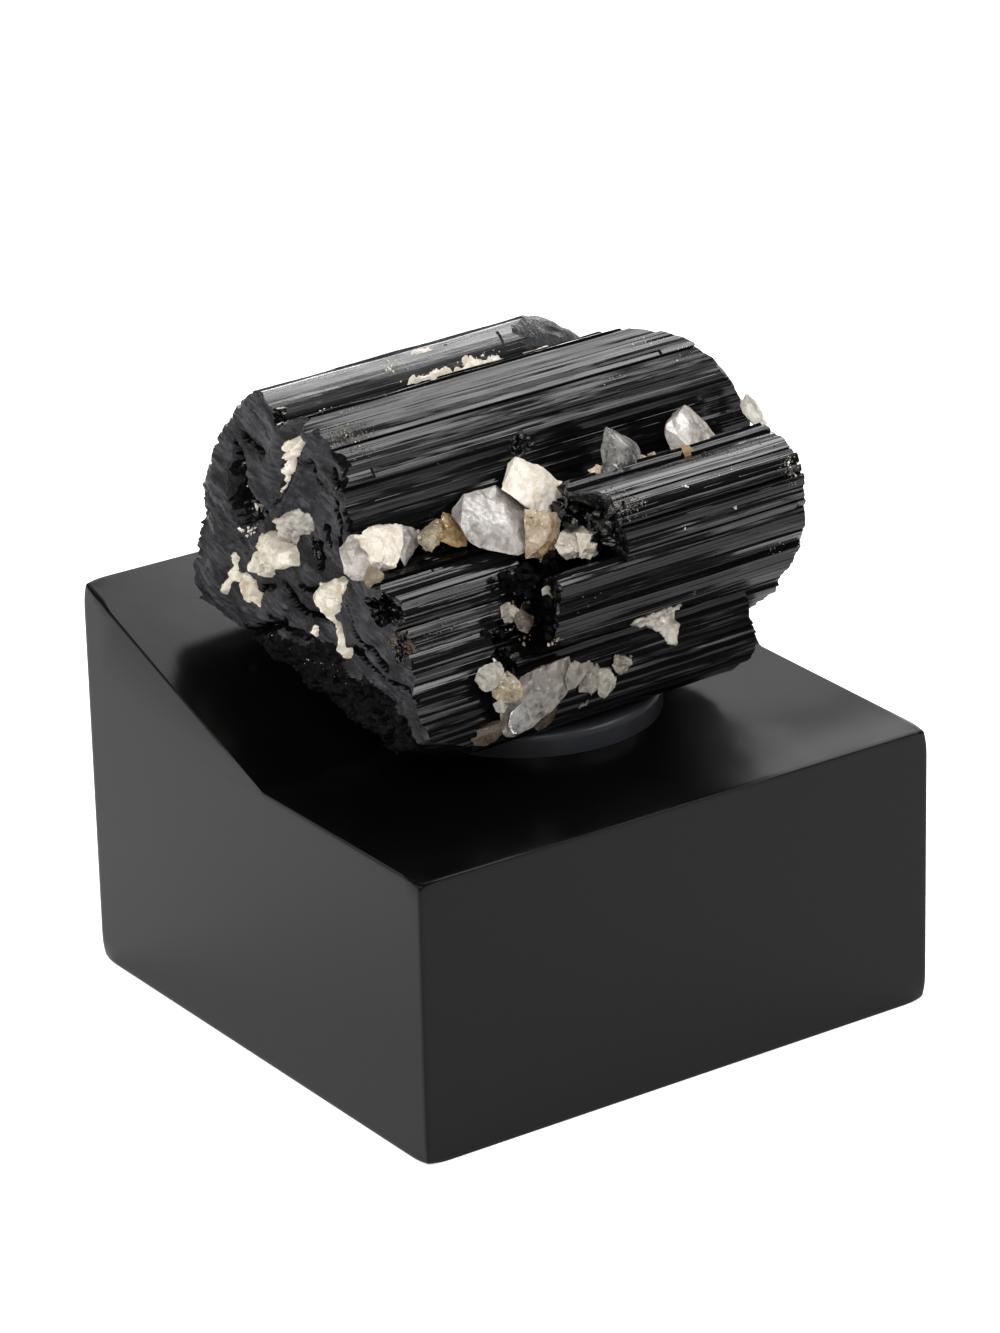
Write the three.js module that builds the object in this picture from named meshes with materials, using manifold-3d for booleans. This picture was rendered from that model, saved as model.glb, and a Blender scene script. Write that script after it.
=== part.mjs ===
// Quartz and feldspar crystals in a bundle of black schorl prisms, on a low stand with a sloped back.
// Millimetres, +Z up. The origin is the centre of the stand's underside, X along its front edge.
import * as THREE from 'three';
import { ConvexGeometry } from 'three/addons/geometries/ConvexGeometry.js';
import { mergeVertices } from 'three/addons/utils/BufferGeometryUtils.js';
import Module from 'manifold-3d';

const wasm = await Module();
wasm.setup();

// Stand
const BLOCK_WIDTH = 100;
const BLOCK_DEPTH = 98;
const FRONT_HEIGHT = 48.5;
const REAR_HEIGHT = 68.5;
const FLAT_DEPTH = 44.5;
const PAD_PLACE = [4.2, -0.3];
const PAD_RADIUS = 22.8;
const PAD_THICKNESS = 4.4;
const PAD_ROUNDING = 1.6;
const PAD_RIM_STEPS = 4;
const PAD_SIDES = 48;
const GAP = 0.3;
const GROWN_TOGETHER = 0.4;

// Specimen: S runs along the prisms, U across them to the back, and V is the height above the table
const YAW_DEG = 3.5;
const LEFT_END = -36.2;
const RIDGE_SPACING = 0.95;
const RIDGE_WANDER = 0.5;
const GROOVE_DEPTH_LEAST = 0.126;
const GROOVE_DEPTH_SPREAD = 0.378;
const CUTTER_REACH = 60;
const CUTTER_GRID = 30;
const CUTTER_MIDDLE = 80;

// Relief of the broken ends: broad scallops with small steps on them, and the share of it on each end
const SCALLOP_WIDTH = 9;
const SCALLOP_HEIGHT = 2.6;
const SCALLOP_LEVEL = 0.45;
const STEP_WIDTH = 3.4;
const STEP_HEIGHT = 1.1;
const STEP_SEED = 40;
const LEFT_RELIEF = 0.8;
const LEFT_SEED = 31;
const RIGHT_RELIEF = 0.7;

// Rounding of the right ends: how steeply they fall towards the sides, and the most they fall
const END_POWER = 3.4;
const END_FALL_LIMIT = 1.4;

// Vug: the open hollow in the broken left end
const VUG = { u: 17, v: 90.5, width: 3.4, height: 7.6, depth: 4.5 };

// Undercut: the lowest part of the broken left end turns back under the bundle past two lines through one
// point, front and back, each given by its direction across, as [U, V]
const UNDERCUT = { u: -20, v: 57.3, slope: 2.6, front: [-0.547, -0.837], back: [0.187, -1] };

// Patches on the broken left end: how far their tops and rims stand out of it, how deep they are rooted, and
// how much narrower than the rim the top and the root are
const PATCH_RISE = 1.6;
const PATCH_RIM = 0.64;
const PATCH_ROOT = 3;
const PATCH_TOP_SHARE = 0.55;
const PATCH_ROOT_SHARE = 0.7;

// Broken lumps: the number of corners, their reach as a share of the size, and their scatter round the lump
const LUMP_CORNERS = 14;
const LUMP_REACH_LEAST = 0.86;
const LUMP_REACH_SPREAD = 0.28;
const LUMP_TWIST = 1.1;
const GOLDEN_TURN = Math.PI * (3 - Math.sqrt(5));

// Crystals: how far a corner moves out for each millimetre that the faces are to move
const CORNER_GROWTH = 1.6;

// Colours and roughness
const SATIN_BLACK = 0x1c1c1d;
const PAD_GREY = 0x26262a;
const SCHORL_BLACK = 0x17171a;
const CLEAR_QUARTZ = 0xc9c4bf;
const AMBER_QUARTZ = 0xb08a4c;
const CREAM = 0xe6ded2;
const SATIN_ROUGHNESS = 0.45;
const PAD_ROUGHNESS = 0.4;
const CRYSTAL_ROUGHNESS = 0.3;

// Prisms of the bundle: corners of the section as [U, V], with the two ends along S
const PRISMS = [
  {
    // top back
    corners: [[7.6, 103], [8.6, 106.6], [11.5, 108.7], [16, 108.6], [21, 104.6], [26, 98.2], [29, 91.6],
      [30.4, 86.5], [27, 81], [14, 82], [8, 92]],
    left: brokenLeft,
    right: roundedEnd({ reach: 30.6, centre: [18, 96], radius: 13.4, drop: 13.6, seed: 3 }),
  },
  {
    // top front
    corners: [[9.4, 102], [7.6, 105.2], [4, 107], [-1.5, 107.5], [-4.8, 105.6], [-7.3, 100.8], [-8.6, 95],
      [-8.4, 90], [-6.6, 83.5], [2, 80], [10, 88]],
    left: brokenLeft,
    right: roundedEnd({
      reach: 48.5, centre: [-4, 89], radius: 17, drop: 13, power: 1.7, back: 0.6, seed: 5,
    }),
  },
  {
    // right front, upper half
    corners: [[-9, 88], [-14.5, 92], [-18.5, 93.4], [-24.5, 92.3], [-27.8, 90], [-29.4, 86.4],
      [-28.8, 81], [-14, 77]],
    left: (u, v) => 3 - 5 * mound(u, v, [-20, 93], 3) + 6 * mound(u, v, [-18, 83], 5)
      + 0.6 * unevenness(u, v, 7),
    right: roundedEnd({ reach: 42, centre: [-16, 82], radius: 14, drop: 2, seed: 9 }),
  },
  {
    // right front, lower half
    corners: [[-14, 76.6], [-20, 79], [-26, 82], [-28.8, 82.8], [-29.4, 80], [-28.8, 77], [-27.6, 73.4],
      [-25.4, 70], [-22, 66], [-16, 61], [-8, 66], [-8, 74]],
    left: (u, v) => -7 + 0.62 * (v - 83.5) - 0.6 * (u + 28.5) + 1.3 * unevenness(u, v, 21),
    right: roundedEnd({ reach: 42, centre: [-16, 82], radius: 14, drop: 2, seed: 9 }),
  },
  {
    // left front
    corners: [[-5, 82.8], [-10, 84.9], [-15.6, 84.2], [-19, 79.6], [-21.4, 75.6], [-24, 71.4], [-25, 67],
      [-18, 63], [-4, 70]],
    left: brokenLeft,
    right: (u, v) => -4 + unevenness(u, v, 11),
  },
  {
    // lower front
    corners: [[-22.6, 70.6], [-25.6, 67], [-27.6, 63], [-27.2, 59.4], [-25, 56.6], [-21.4, 54.8],
      [-14, 54.4], [-6, 58], [-8, 68]],
    left: (u, v) => brokenLeft(u, v) + undercut(u, v),
    right: (u, v) => 30.5 + unevenness(u, v, 13),
  },
  {
    // back
    corners: [[28.6, 87], [31.6, 84], [34.2, 78], [35.8, 70.4], [33.4, 66.6], [29, 64.6], [18, 62.6],
      [6, 60.8], [2, 72], [14, 84]],
    left: brokenLeft,
    right: roundedEnd({ reach: 33, centre: [22, 74], radius: 14, drop: 5, seed: 17 }),
  },
  {
    // underside
    corners: [[-16, 58], [-13, 54], [-8, 53.6], [5, 53.6], [11, 56], [17, 61], [12, 70], [-8, 70]],
    left: (u, v) => -23 - 0.8 * (v - 54) + unevenness(u, v, 19),
    right: (u, v) => 34 + unevenness(u, v, 23),
  },
  {
    // core
    corners: [[6, 103], [-4, 98], [-5, 86], [-12, 83], [-17, 75], [-18, 64], [-12, 59.6], [8, 60.6],
      [24, 66], [28, 78], [25, 90], [16, 102]],
    left: brokenLeft,
    right: roundedEnd({ reach: 37, centre: [0, 80], radius: 24, drop: 8, seed: 29 }),
  },
];

// Pits broken into the bundle: the middle as [S, U, V] and the size along each
const PITS = [
  { place: [-19.6, -24.6, 72.4], size: [7, 7, 10], seed: 51 },
  { place: [-9.5, -23, 80.6], size: [7, 7, 7], seed: 52 },
  { place: [-4, -20.6, 83.8], size: [9, 5, 3.6], seed: 53 },
  { place: [-2, -9, 97.6], size: [4.6, 4, 3.6], seed: 54 },
  { place: [-36.6, 9.6, 106], size: [5, 3.2, 3], seed: 55 },
  { place: [-36, -15, 81], size: [6, 6.6, 5], seed: 56 },
];

// The pale crystals. Each is one grown-together piece, joined from forms of three kinds: the corners of
// a flat-faced crystal as [S, U, V], a broken lump by its place and size, and a patch on the broken left
// end by its outline as [U, V]
const CRYSTALS = [
  {
    // A large grey quartz, its tan matrix, a cream feldspar block behind it and a white crumb at its right
    name: 'quartz_large_cluster', colour: CLEAR_QUARTZ,
    forms: [
      { corners: [[-17.5, -11, 91], [-14, -9.5, 92.5], [-7, -9.5, 92], [-4, -12.5, 89], [1, -14, 85.6],
        [-1, -17, 84.5], [-5.5, -18, 84], [-9, -18.5, 83.5], [-14, -17.5, 85.5], [-17.5, -15, 88],
        [-13.5, -16, 91], [-10, -18.5, 89], [-8.5, -5, 88], [2, -6, 84], [-10, -9, 83.5]] },
      { corners: [[-4, -13, 90.2], [-0.6, -13, 89.6], [0.9, -15, 87.4], [-0.4, -17, 85.3],
        [-2.9, -18.5, 83.6], [-5.6, -19, 82.7], [-7.6, -18.5, 84.3], [-6, -18.4, 87], [-2, -8, 86],
        [-5, -12, 80]] },
      { corners: [[-3.5, -8.5, 96], [7, -10.5, 89.2], [4.5, -12.5, 89.2], [-1, -14, 88.8],
        [-8, -11.5, 93.4], [-3, -14.5, 93.4], [1, -4, 92.5], [9, -5, 88], [3, -7, 88],
        [-2.5, -6, 91.5]] },
      { corners: [[-2, -17.6, 83.9], [1.2, -17, 84.3], [3.9, -17.5, 84.1], [5.9, -18, 82],
        [6.7, -18.5, 79.9], [3.2, -19.5, 79.9], [-1.3, -20, 81.4], [-2.4, -19.5, 82.7], [2, -20.6, 82.4],
        [5, -14, 79], [0, -14, 79]] },
    ],
  },
  {
    name: 'quartz_amber', colour: AMBER_QUARTZ,
    forms: [{ corners: [[-24, -10, 89], [-20, -9.5, 90.5], [-18.2, -10, 90], [-18.2, -14, 86.8],
      [-21.5, -14.5, 87.5], [-24.5, -14, 87], [-22, -15.5, 90], [-18.4, -5, 86.5], [-18.4, -8, 84]] }],
  },
  {
    name: 'quartz_left_cluster', colour: CREAM,
    forms: [
      { corners: [[-38, -6, 87], [-36, -8, 90], [-32.5, -8.5, 90.5], [-37.5, -14, 89], [-37, -12.5, 84.5],
        [-38.5, -10, 84], [-38, -8, 86], [-32.5, -2, 84], [-31, -5, 82.5]] },
      { corners: [[-33, -9, 90.5], [-31.5, -8, 90.5], [-26, -8.5, 89.8], [-25.2, -10, 88.7],
        [-25.6, -12, 88], [-30, -14, 86], [-32.5, -14.5, 84], [-34.5, -14.5, 84], [-37, -12.5, 84.5],
        [-37.5, -13, 88.5], [-35, -16, 90], [-27, -4, 86.5], [-25.6, -5, 85], [-28.5, -7, 83]] },
      { place: [-35.6, -14, 85.6], size: [4.6, 4, 4], seed: 7 },
    ],
  },
  {
    name: 'quartz_point', colour: CLEAR_QUARTZ,
    forms: [
      { corners: [[15, -10.5, 97], [19, -11, 94], [20, -11.5, 93.5], [19, -13, 91.5], [20, -13, 90.5],
        [17, -14.5, 91], [10.5, -15.5, 91], [9.5, -13.5, 93], [11.5, -12.5, 94], [13.5, -11, 96],
        [13, -16, 94.5], [11.5, -15, 95], [20, -6, 92.5], [22, -7, 89.5], [16, -8, 90]] },
      { place: [9.2, -13.6, 91.6], size: [3.4, 3.2, 2.6], seed: 15 },
    ],
  },
  {
    name: 'quartz_blocky', colour: CLEAR_QUARTZ,
    forms: [
      { corners: [[28, -10.5, 97], [30.5, -10, 97], [32, -10.5, 96.5], [35.5, -12.5, 92], [35, -13.5, 91],
        [32.5, -15, 91], [27, -16.5, 91.5], [22, -16.5, 92], [22, -14, 93.5], [24.5, -12.5, 94.5],
        [26.5, -11.5, 96], [26.5, -17, 95.5], [25, -15.5, 96], [34.5, -5, 92.5], [37, -6, 89.5],
        [30, -7, 89.5]] },
      { place: [21.4, -15.2, 92.4], size: [2.6, 2.6, 2.4], seed: 18 },
    ],
  },
  {
    name: 'quartz_notch', colour: CREAM,
    forms: [{ corners: [[40, -12, 94.5], [41.5, -11.5, 95], [43, -12, 95], [43.5, -14, 92.5],
      [43.6, -15, 91.5], [40.5, -15, 91.5], [39.5, -14.5, 93], [40, -16, 94.5], [44, -8, 91.5],
      [42, -9, 89.5]] }],
  },
  {
    name: 'quartz_front_cluster', colour: CLEAR_QUARTZ,
    forms: [
      { corners: [[-5, -28, 68], [-4.5, -28.5, 66.5], [-5.5, -29, 66], [-7.5, -29.5, 64.5],
        [-11.5, -30, 62.5], [-17.5, -30.5, 61], [-18.5, -30, 60], [-20.5, -29.5, 59.5], [-22, -29, 60.5],
        [-22.5, -29, 63], [-21, -29, 65.5], [-18, -28, 68], [-9, -28, 68.5], [-19.5, -33, 66],
        [-12, -32, 68], [-13, -24, 61.5], [-6, -24, 64], [-16.5, -24, 59]] },
      { corners: [[-6.5, -28.5, 64], [-10, -28.5, 61.5], [-13, -27.5, 57.5], [-14, -27, 57],
        [-16.5, -28, 58.5], [-16, -30, 61.5], [-7, -24, 60.5], [-9.5, -23, 57]] },
      { corners: [[-24, -28, 66], [-25, -28, 64], [-25.5, -27.5, 62], [-27, -26.5, 60.5],
        [-25.5, -26.5, 59.5], [-23, -26.5, 58], [-21.5, -28, 60], [-22.5, -29, 63.5],
        [-20.5, -23, 59.5]] },
      { corners: [[-26, -26.5, 69], [-24.5, -26, 71], [-21.5, -26, 70.5], [-20, -26, 70.5],
        [-20, -27.5, 68.5], [-25, -28.5, 67.5], [-18.5, -22, 66]] },
      { corners: [[-20, -27.5, 68.5], [-18.5, -28, 68.5], [-21.5, -30, 66], [-24.5, -29, 66],
        [-25, -28.5, 67.5], [-24, -30.5, 69], [-18, -23, 64.5]] },
    ],
  },
  {
    name: 'feldspar_beside_cluster', colour: CREAM,
    forms: [
      { corners: [[-4, -26.5, 61.5], [-3, -26, 65], [-1.5, -26, 65.5], [-0.5, -26.5, 64.5],
        [-3, -28.5, 62.5], [-2.5, -27.5, 60.5], [1, -22, 60.5]] },
      { corners: [[-0.5, -26.5, 64.5], [1, -26.5, 64], [1, -27.5, 62.5], [1, -27.5, 61],
        [-1, -27.5, 59.5], [-2.5, -27.5, 60.5], [-2, -29.5, 63.5], [3, -22, 59.5]] },
      { corners: [[1.4, -26, 65.7], [6.5, -26, 64.3], [5, -27.4, 63.7], [1.6, -28, 63.8], [1, -28, 65.6],
        [0, -25.5, 63.4], [6, -22, 63]] },
    ],
  },
  {
    name: 'feldspar_patch_right', colour: CREAM,
    forms: [
      { corners: [[8, -26, 69.5], [11, -26.5, 70.5], [17, -27, 71], [17, -26, 67], [12.5, -28, 68],
        [9, -27.5, 69], [9, -26, 68], [16.5, -22, 66.5]] },
      { corners: [[17, -26, 67], [16, -25.5, 64.5], [14.5, -25, 63.5], [12.5, -25.5, 65.5],
        [10.5, -27, 68.5], [12.5, -28, 68], [18, -21, 64]] },
    ],
  },
  {
    name: 'feldspar_in_pit', colour: CREAM,
    forms: [
      { corners: [[-15.5, -20.6, 77], [-11.5, -20.2, 78], [-11, -21, 76], [-12.5, -22.4, 75],
        [-15.5, -22.8, 74.5], [-16, -22, 75.5], [-10, -16, 74]] },
      { corners: [[-11, -20.4, 75], [-9, -21.9, 73], [-11, -22.9, 72], [-14, -22.9, 73.5],
        [-14, -24.4, 75.5], [-7, -16, 71]] },
    ],
  },
  {
    name: 'feldspar_oval', colour: CREAM,
    forms: [{ place: [-7.8, -21.6, 78.2], size: [3, 5.4, 3.4], seed: 33 }],
  },
  {
    name: 'feldspar_strip', colour: CREAM,
    forms: [
      { corners: [[-12.5, 6.5, 104.8], [-8.5, 9, 105.9], [-7, 9, 105.9], [-3.5, 8, 105.2],
        [-0.5, 8, 105.4], [-2, 6, 104.8], [-8.5, 6, 105.2], [-5, 9.5, 103.5]] },
      { corners: [[-3, 6.5, 104.9], [1, 9, 105.9], [5, 8.5, 105.6], [6, 6.5, 105.2], [1, 6, 104.8],
        [4.5, 10, 103.5]] },
    ],
  },
  {
    name: 'feldspar_spot_back', colour: CREAM,
    forms: [{ place: [-5.3, 12.5, 108.4], size: [4.6, 2.8, 2.4], seed: 36 }],
  },
  {
    name: 'feldspar_spot_right', colour: CREAM,
    forms: [{ place: [15.8, 7.4, 105], size: [4.4, 2.2, 2], seed: 37 }],
  },
  {
    name: 'feldspar_end_top', colour: CREAM,
    forms: [
      { patch: [[2, 106.5], [-0.5, 106.6], [1.5, 103.5], [4.5, 99.5], [5.4, 101.2], [3.5, 104.5]] },
      { patch: [[4.5, 99.5], [6.5, 97], [7, 98], [7, 101], [5, 102.4], [3.6, 101.4]] },
    ],
  },
  {
    name: 'feldspar_end_middle', colour: CREAM,
    forms: [{ patch: [[8, 90], [5.5, 92], [2, 91.5], [0.5, 89.5], [4, 87.5], [5, 87], [8.5, 87.4],
      [9, 88.6]] }],
  },
  {
    name: 'feldspar_end_large', colour: CREAM,
    forms: [
      { patch: [[17.5, 79.5], [13.5, 83.5], [14, 85.5], [11, 86.2], [9.5, 85], [10, 80.5], [11.5, 79],
        [14.5, 77.5], [17, 78]] },
      { patch: [[11, 84.5], [5, 85.8], [3.5, 83], [7.5, 81], [11.5, 80]] },
    ],
  },
  {
    name: 'feldspar_end_left', colour: CREAM,
    forms: [
      { patch: [[23.5, 80], [22, 77.5], [21.6, 75.4], [22.5, 75], [23.5, 72], [25.5, 72.5],
        [24.6, 77]] },
      { patch: [[22.6, 76], [17, 76], [16, 73], [15, 72], [19, 72], [21.5, 73.6]] },
    ],
  },
  {
    name: 'feldspar_end_front', colour: CREAM,
    forms: [
      { patch: [[1.5, 79], [-4, 82], [-7, 81.6], [-5.5, 79], [-4.5, 76], [-1.5, 76]] },
      { patch: [[-2.5, 77], [-5.5, 79], [-6, 76], [-9.5, 72], [-9.5, 71.5], [-7.5, 71], [-5.5, 73]] },
    ],
  },
];

// A repeatable number from 0 to 1 for two whole numbers and a seed
function scatter(i, j, seed) {
  const value = Math.sin(i * 127.1 + j * 311.7 + seed * 74.7) * 43758.5453;
  return value - Math.floor(value);
}

// Smooth unevenness from 0 to 1, one swell per unit
function swell(x, y, seed) {
  const i = Math.floor(x);
  const j = Math.floor(y);
  const fx = THREE.MathUtils.smoothstep(x - i, 0, 1);
  const fy = THREE.MathUtils.smoothstep(y - j, 0, 1);
  const near = THREE.MathUtils.lerp(scatter(i, j, seed), scatter(i + 1, j, seed), fx);
  const far = THREE.MathUtils.lerp(scatter(i, j + 1, seed), scatter(i + 1, j + 1, seed), fx);
  return THREE.MathUtils.lerp(near, far, fy);
}

// Relief of a broken end in mm: broad scallops with sharp crests, and small steps on them
function unevenness(u, v, seed) {
  const scallop = Math.abs(swell(u / SCALLOP_WIDTH, v / SCALLOP_WIDTH, seed) - 0.5) * 2;
  const step = swell(u / STEP_WIDTH, v / STEP_WIDTH, seed + STEP_SEED) - 0.5;
  return SCALLOP_HEIGHT * (SCALLOP_LEVEL - scallop) + STEP_HEIGHT * step;
}

// A smooth round mound of height 1 at centre
function mound(u, v, centre, radius) {
  return Math.exp(-((u - centre[0]) ** 2 + (v - centre[1]) ** 2) / radius ** 2);
}

// The bundle's broken left end, with the vug in it
function brokenLeft(u, v) {
  const across = (u - VUG.u) / VUG.width;
  const along = (v - VUG.v) / VUG.height;
  const hollow = VUG.depth * Math.exp(-(across ** 2) - along ** 2);
  return LEFT_END + LEFT_RELIEF * unevenness(u, v, LEFT_SEED) + hollow;
}

// How far the lowest part of the left end is broken back
function undercut(u, v) {
  const past = [UNDERCUT.front, UNDERCUT.back].map(
    (across) => Math.max(0, across[0] * (u - UNDERCUT.u) + across[1] * (v - UNDERCUT.v)));
  return UNDERCUT.slope * (past[0] + past[1]);
}

// A right end that reaches furthest at its centre and drops back towards the prism's sides; back is the
// further slope of its rear half
function roundedEnd({ reach, centre, radius, drop, power = END_POWER, back = 0, seed }) {
  return (u, v) => {
    const out = Math.hypot(u - centre[0], v - centre[1]) / radius;
    const fall = drop * Math.min(END_FALL_LIMIT, out ** power) + back * Math.max(0, u - centre[0]);
    return reach - fall + RIGHT_RELIEF * unevenness(u, v, seed);
  };
}

function solid(geometry) {
  const bare = geometry.clone();
  bare.deleteAttribute('normal');
  bare.deleteAttribute('uv');
  const merged = mergeVertices(bare, 1e-4);
  return new wasm.Manifold(new wasm.Mesh({
    numProp: 3,
    vertProperties: new Float32Array(merged.attributes.position.array),
    triVerts: new Uint32Array(merged.index.array),
  }));
}

function geometryOf(joined) {
  const mesh = joined.getMesh();
  const geometry = new THREE.BufferGeometry();
  geometry.setAttribute('position', new THREE.BufferAttribute(mesh.vertProperties, 3));
  geometry.setIndex(new THREE.BufferAttribute(mesh.triVerts, 1));
  geometry.computeVertexNormals();
  return geometry;
}

// Extrudes an outline drawn in (U, V) along S
function extrudeAlongS(outline, from, to) {
  const geometry = new THREE.ExtrudeGeometry(outline, { depth: to - from, bevelEnabled: false });
  const axes = new THREE.Matrix4().makeBasis(
    new THREE.Vector3(0, 1, 0), new THREE.Vector3(0, 0, 1), new THREE.Vector3(1, 0, 0));
  geometry.applyMatrix4(axes);
  geometry.translate(from, 0, 0);
  return geometry;
}

// A prism's section: a smooth closed curve through the corners with a shallow groove at every second point
function striatedSection(corners, seed) {
  const knots = corners.map(([u, v]) => new THREE.Vector3(u, v, 0));
  const curve = new THREE.CatmullRomCurve3(knots, true, 'centripetal');
  const count = 2 * Math.round(curve.getLength() / RIDGE_SPACING / 2);
  const inside = knots.reduce((sum, knot) => sum.add(knot), new THREE.Vector3()).divideScalar(knots.length);
  const points = [];
  for (let i = 0; i < count; i += 1) {
    const point = curve.getPointAt((i + RIDGE_WANDER * scatter(i, 1, seed)) / count);
    const depth = i % 2 === 1 ? GROOVE_DEPTH_LEAST + GROOVE_DEPTH_SPREAD * scatter(i, 2, seed) : 0;
    const inward = inside.clone().sub(point).setLength(depth);
    points.push(new THREE.Vector2(point.x + inward.x, point.y + inward.y));
  }
  return new THREE.Shape(points);
}

// A tall box whose two end faces follow the broken surfaces left(u, v) and right(u, v)
function brokenEnds(left, right) {
  const box = new THREE.BoxGeometry(2, 2 * CUTTER_REACH, 2 * CUTTER_REACH, 1, CUTTER_GRID, CUTTER_GRID);
  const position = box.attributes.position;
  for (let i = 0; i < position.count; i += 1) {
    const u = position.getY(i);
    const v = position.getZ(i) + CUTTER_MIDDLE;
    position.setX(i, position.getX(i) < 0 ? left(u, v) : right(u, v));
    position.setZ(i, v);
  }
  return box;
}

function schorlPrism(prism, seed) {
  const section = striatedSection(prism.corners, seed);
  const bar = solid(extrudeAlongS(section, -CUTTER_REACH, CUTTER_REACH));
  return bar.intersect(solid(brokenEnds(prism.left, prism.right)));
}

function buildBlock() {
  const side = new THREE.Shape();
  side.moveTo(0, 0);
  side.lineTo(BLOCK_DEPTH, 0);
  side.lineTo(BLOCK_DEPTH, REAR_HEIGHT);
  side.lineTo(FLAT_DEPTH, FRONT_HEIGHT);
  side.lineTo(0, FRONT_HEIGHT);
  const geometry = extrudeAlongS(side, -BLOCK_WIDTH / 2, BLOCK_WIDTH / 2);
  geometry.translate(0, -BLOCK_DEPTH / 2, 0);
  return geometry;
}

// The pad: a disc with a rounded rim, shaped to the stand's top where that starts to slope
function buildPad(block) {
  const rim = [PAD_RADIUS - PAD_ROUNDING, PAD_THICKNESS + GAP - PAD_ROUNDING];
  const profile = [new THREE.Vector2(0, 0), new THREE.Vector2(PAD_RADIUS, 0)];
  for (let i = 0; i <= PAD_RIM_STEPS; i += 1) {
    const turn = (i / PAD_RIM_STEPS) * Math.PI / 2;
    profile.push(new THREE.Vector2(
      rim[0] + PAD_ROUNDING * Math.cos(turn), rim[1] + PAD_ROUNDING * Math.sin(turn)));
  }
  profile.push(new THREE.Vector2(0, PAD_THICKNESS + GAP));
  const disc = new THREE.LatheGeometry(profile, PAD_SIDES);
  disc.rotateX(Math.PI / 2);
  disc.translate(PAD_PLACE[0], PAD_PLACE[1], FRONT_HEIGHT);
  const seat = block.clone();
  seat.translate(0, 0, GAP);
  return geometryOf(solid(disc).subtract(solid(seat)));
}

// A flat-faced crystal through its corners, grown outwards from its middle by grow
function cornerCrystal(corners, grow) {
  const points = corners.map((corner) => new THREE.Vector3(...corner));
  const middle = points.reduce((sum, point) => sum.add(point), new THREE.Vector3());
  middle.divideScalar(points.length);
  for (const point of points) {
    const out = point.clone().sub(middle);
    point.add(out.setLength(CORNER_GROWTH * grow));
  }
  return new ConvexGeometry(points);
}

// A broken lump: flat facets through points scattered over an egg of the given size
function brokenLump({ place, size, seed }, grow) {
  const points = [];
  for (let i = 0; i < LUMP_CORNERS; i += 1) {
    const height = 1 - (2 * (i + 0.5)) / LUMP_CORNERS;
    const turn = i * GOLDEN_TURN + LUMP_TWIST * scatter(i, 5, seed);
    const ring = Math.sqrt(1 - height * height);
    const reach = LUMP_REACH_LEAST + LUMP_REACH_SPREAD * scatter(i, 6, seed);
    points.push(new THREE.Vector3(
      place[0] + ring * Math.cos(turn) * reach * (size[0] / 2 + grow),
      place[1] + ring * Math.sin(turn) * reach * (size[1] / 2 + grow),
      place[2] + height * reach * (size[2] / 2 + grow)));
  }
  return new ConvexGeometry(points);
}

// A patch on the broken left end: a low faceted mound over its outline, with a narrower root
function endPatch(outline, grow) {
  const corners = [];
  const middle = [0, 1].map(
    (axis) => outline.reduce((sum, corner) => sum + corner[axis], 0) / outline.length);
  const layers = [[-PATCH_RIM, 1], [-PATCH_RISE, PATCH_TOP_SHARE], [PATCH_ROOT, PATCH_ROOT_SHARE]];
  for (const [u, v] of outline) {
    for (const [out, share] of layers) {
      const across = share * (u - middle[0]);
      const along = share * (v - middle[1]);
      corners.push([LEFT_END + out, middle[0] + across, middle[1] + along]);
    }
  }
  return cornerCrystal(corners, grow);
}

// One grown-together piece: its forms, each swollen a little so that they meet, joined
function joinForms(forms, grow) {
  let joined = null;
  const swelling = forms.length > 1 ? grow + GROWN_TOGETHER : grow;
  for (const form of forms) {
    let geometry;
    if (form.corners) {
      geometry = cornerCrystal(form.corners, swelling);
    } else if (form.patch) {
      geometry = endPatch(form.patch, swelling);
    } else {
      geometry = brokenLump(form, swelling);
    }
    joined = joined === null ? solid(geometry) : joined.add(solid(geometry));
  }
  return joined;
}

function piece(name, geometry, colour, roughness) {
  const material = new THREE.MeshStandardMaterial({ color: colour, roughness, metalness: 0 });
  const mesh = new THREE.Mesh(geometry, material);
  mesh.name = name;
  return mesh;
}

function buildStand() {
  const stand = new THREE.Group();
  const block = buildBlock();
  stand.add(piece('base', block, SATIN_BLACK, SATIN_ROUGHNESS));
  stand.add(piece('pad', buildPad(block), PAD_GREY, PAD_ROUGHNESS));
  return stand;
}

function buildSpecimen() {
  const specimen = new THREE.Group();
  let bundle = PRISMS.map(schorlPrism).reduce((joined, prism) => joined.add(prism));
  for (const pit of PITS) {
    bundle = bundle.subtract(solid(brokenLump(pit, 0)));
  }
  for (const crystal of CRYSTALS) {
    const { name, colour, forms } = crystal;
    bundle = bundle.subtract(joinForms(forms, GAP));
    specimen.add(piece(name, geometryOf(joinForms(forms, 0)), colour, CRYSTAL_ROUGHNESS));
  }
  specimen.add(piece('schorl', geometryOf(bundle), SCHORL_BLACK, CRYSTAL_ROUGHNESS));
  specimen.rotation.z = THREE.MathUtils.degToRad(YAW_DEG);
  return specimen;
}

const model = new THREE.Group();
model.add(buildStand(), buildSpecimen());

export default model;
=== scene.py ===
import math
import random

import bmesh
import bpy
import numpy as np
from mathutils import Matrix, Vector, noise
from mathutils.bvhtree import BVHTree


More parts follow.
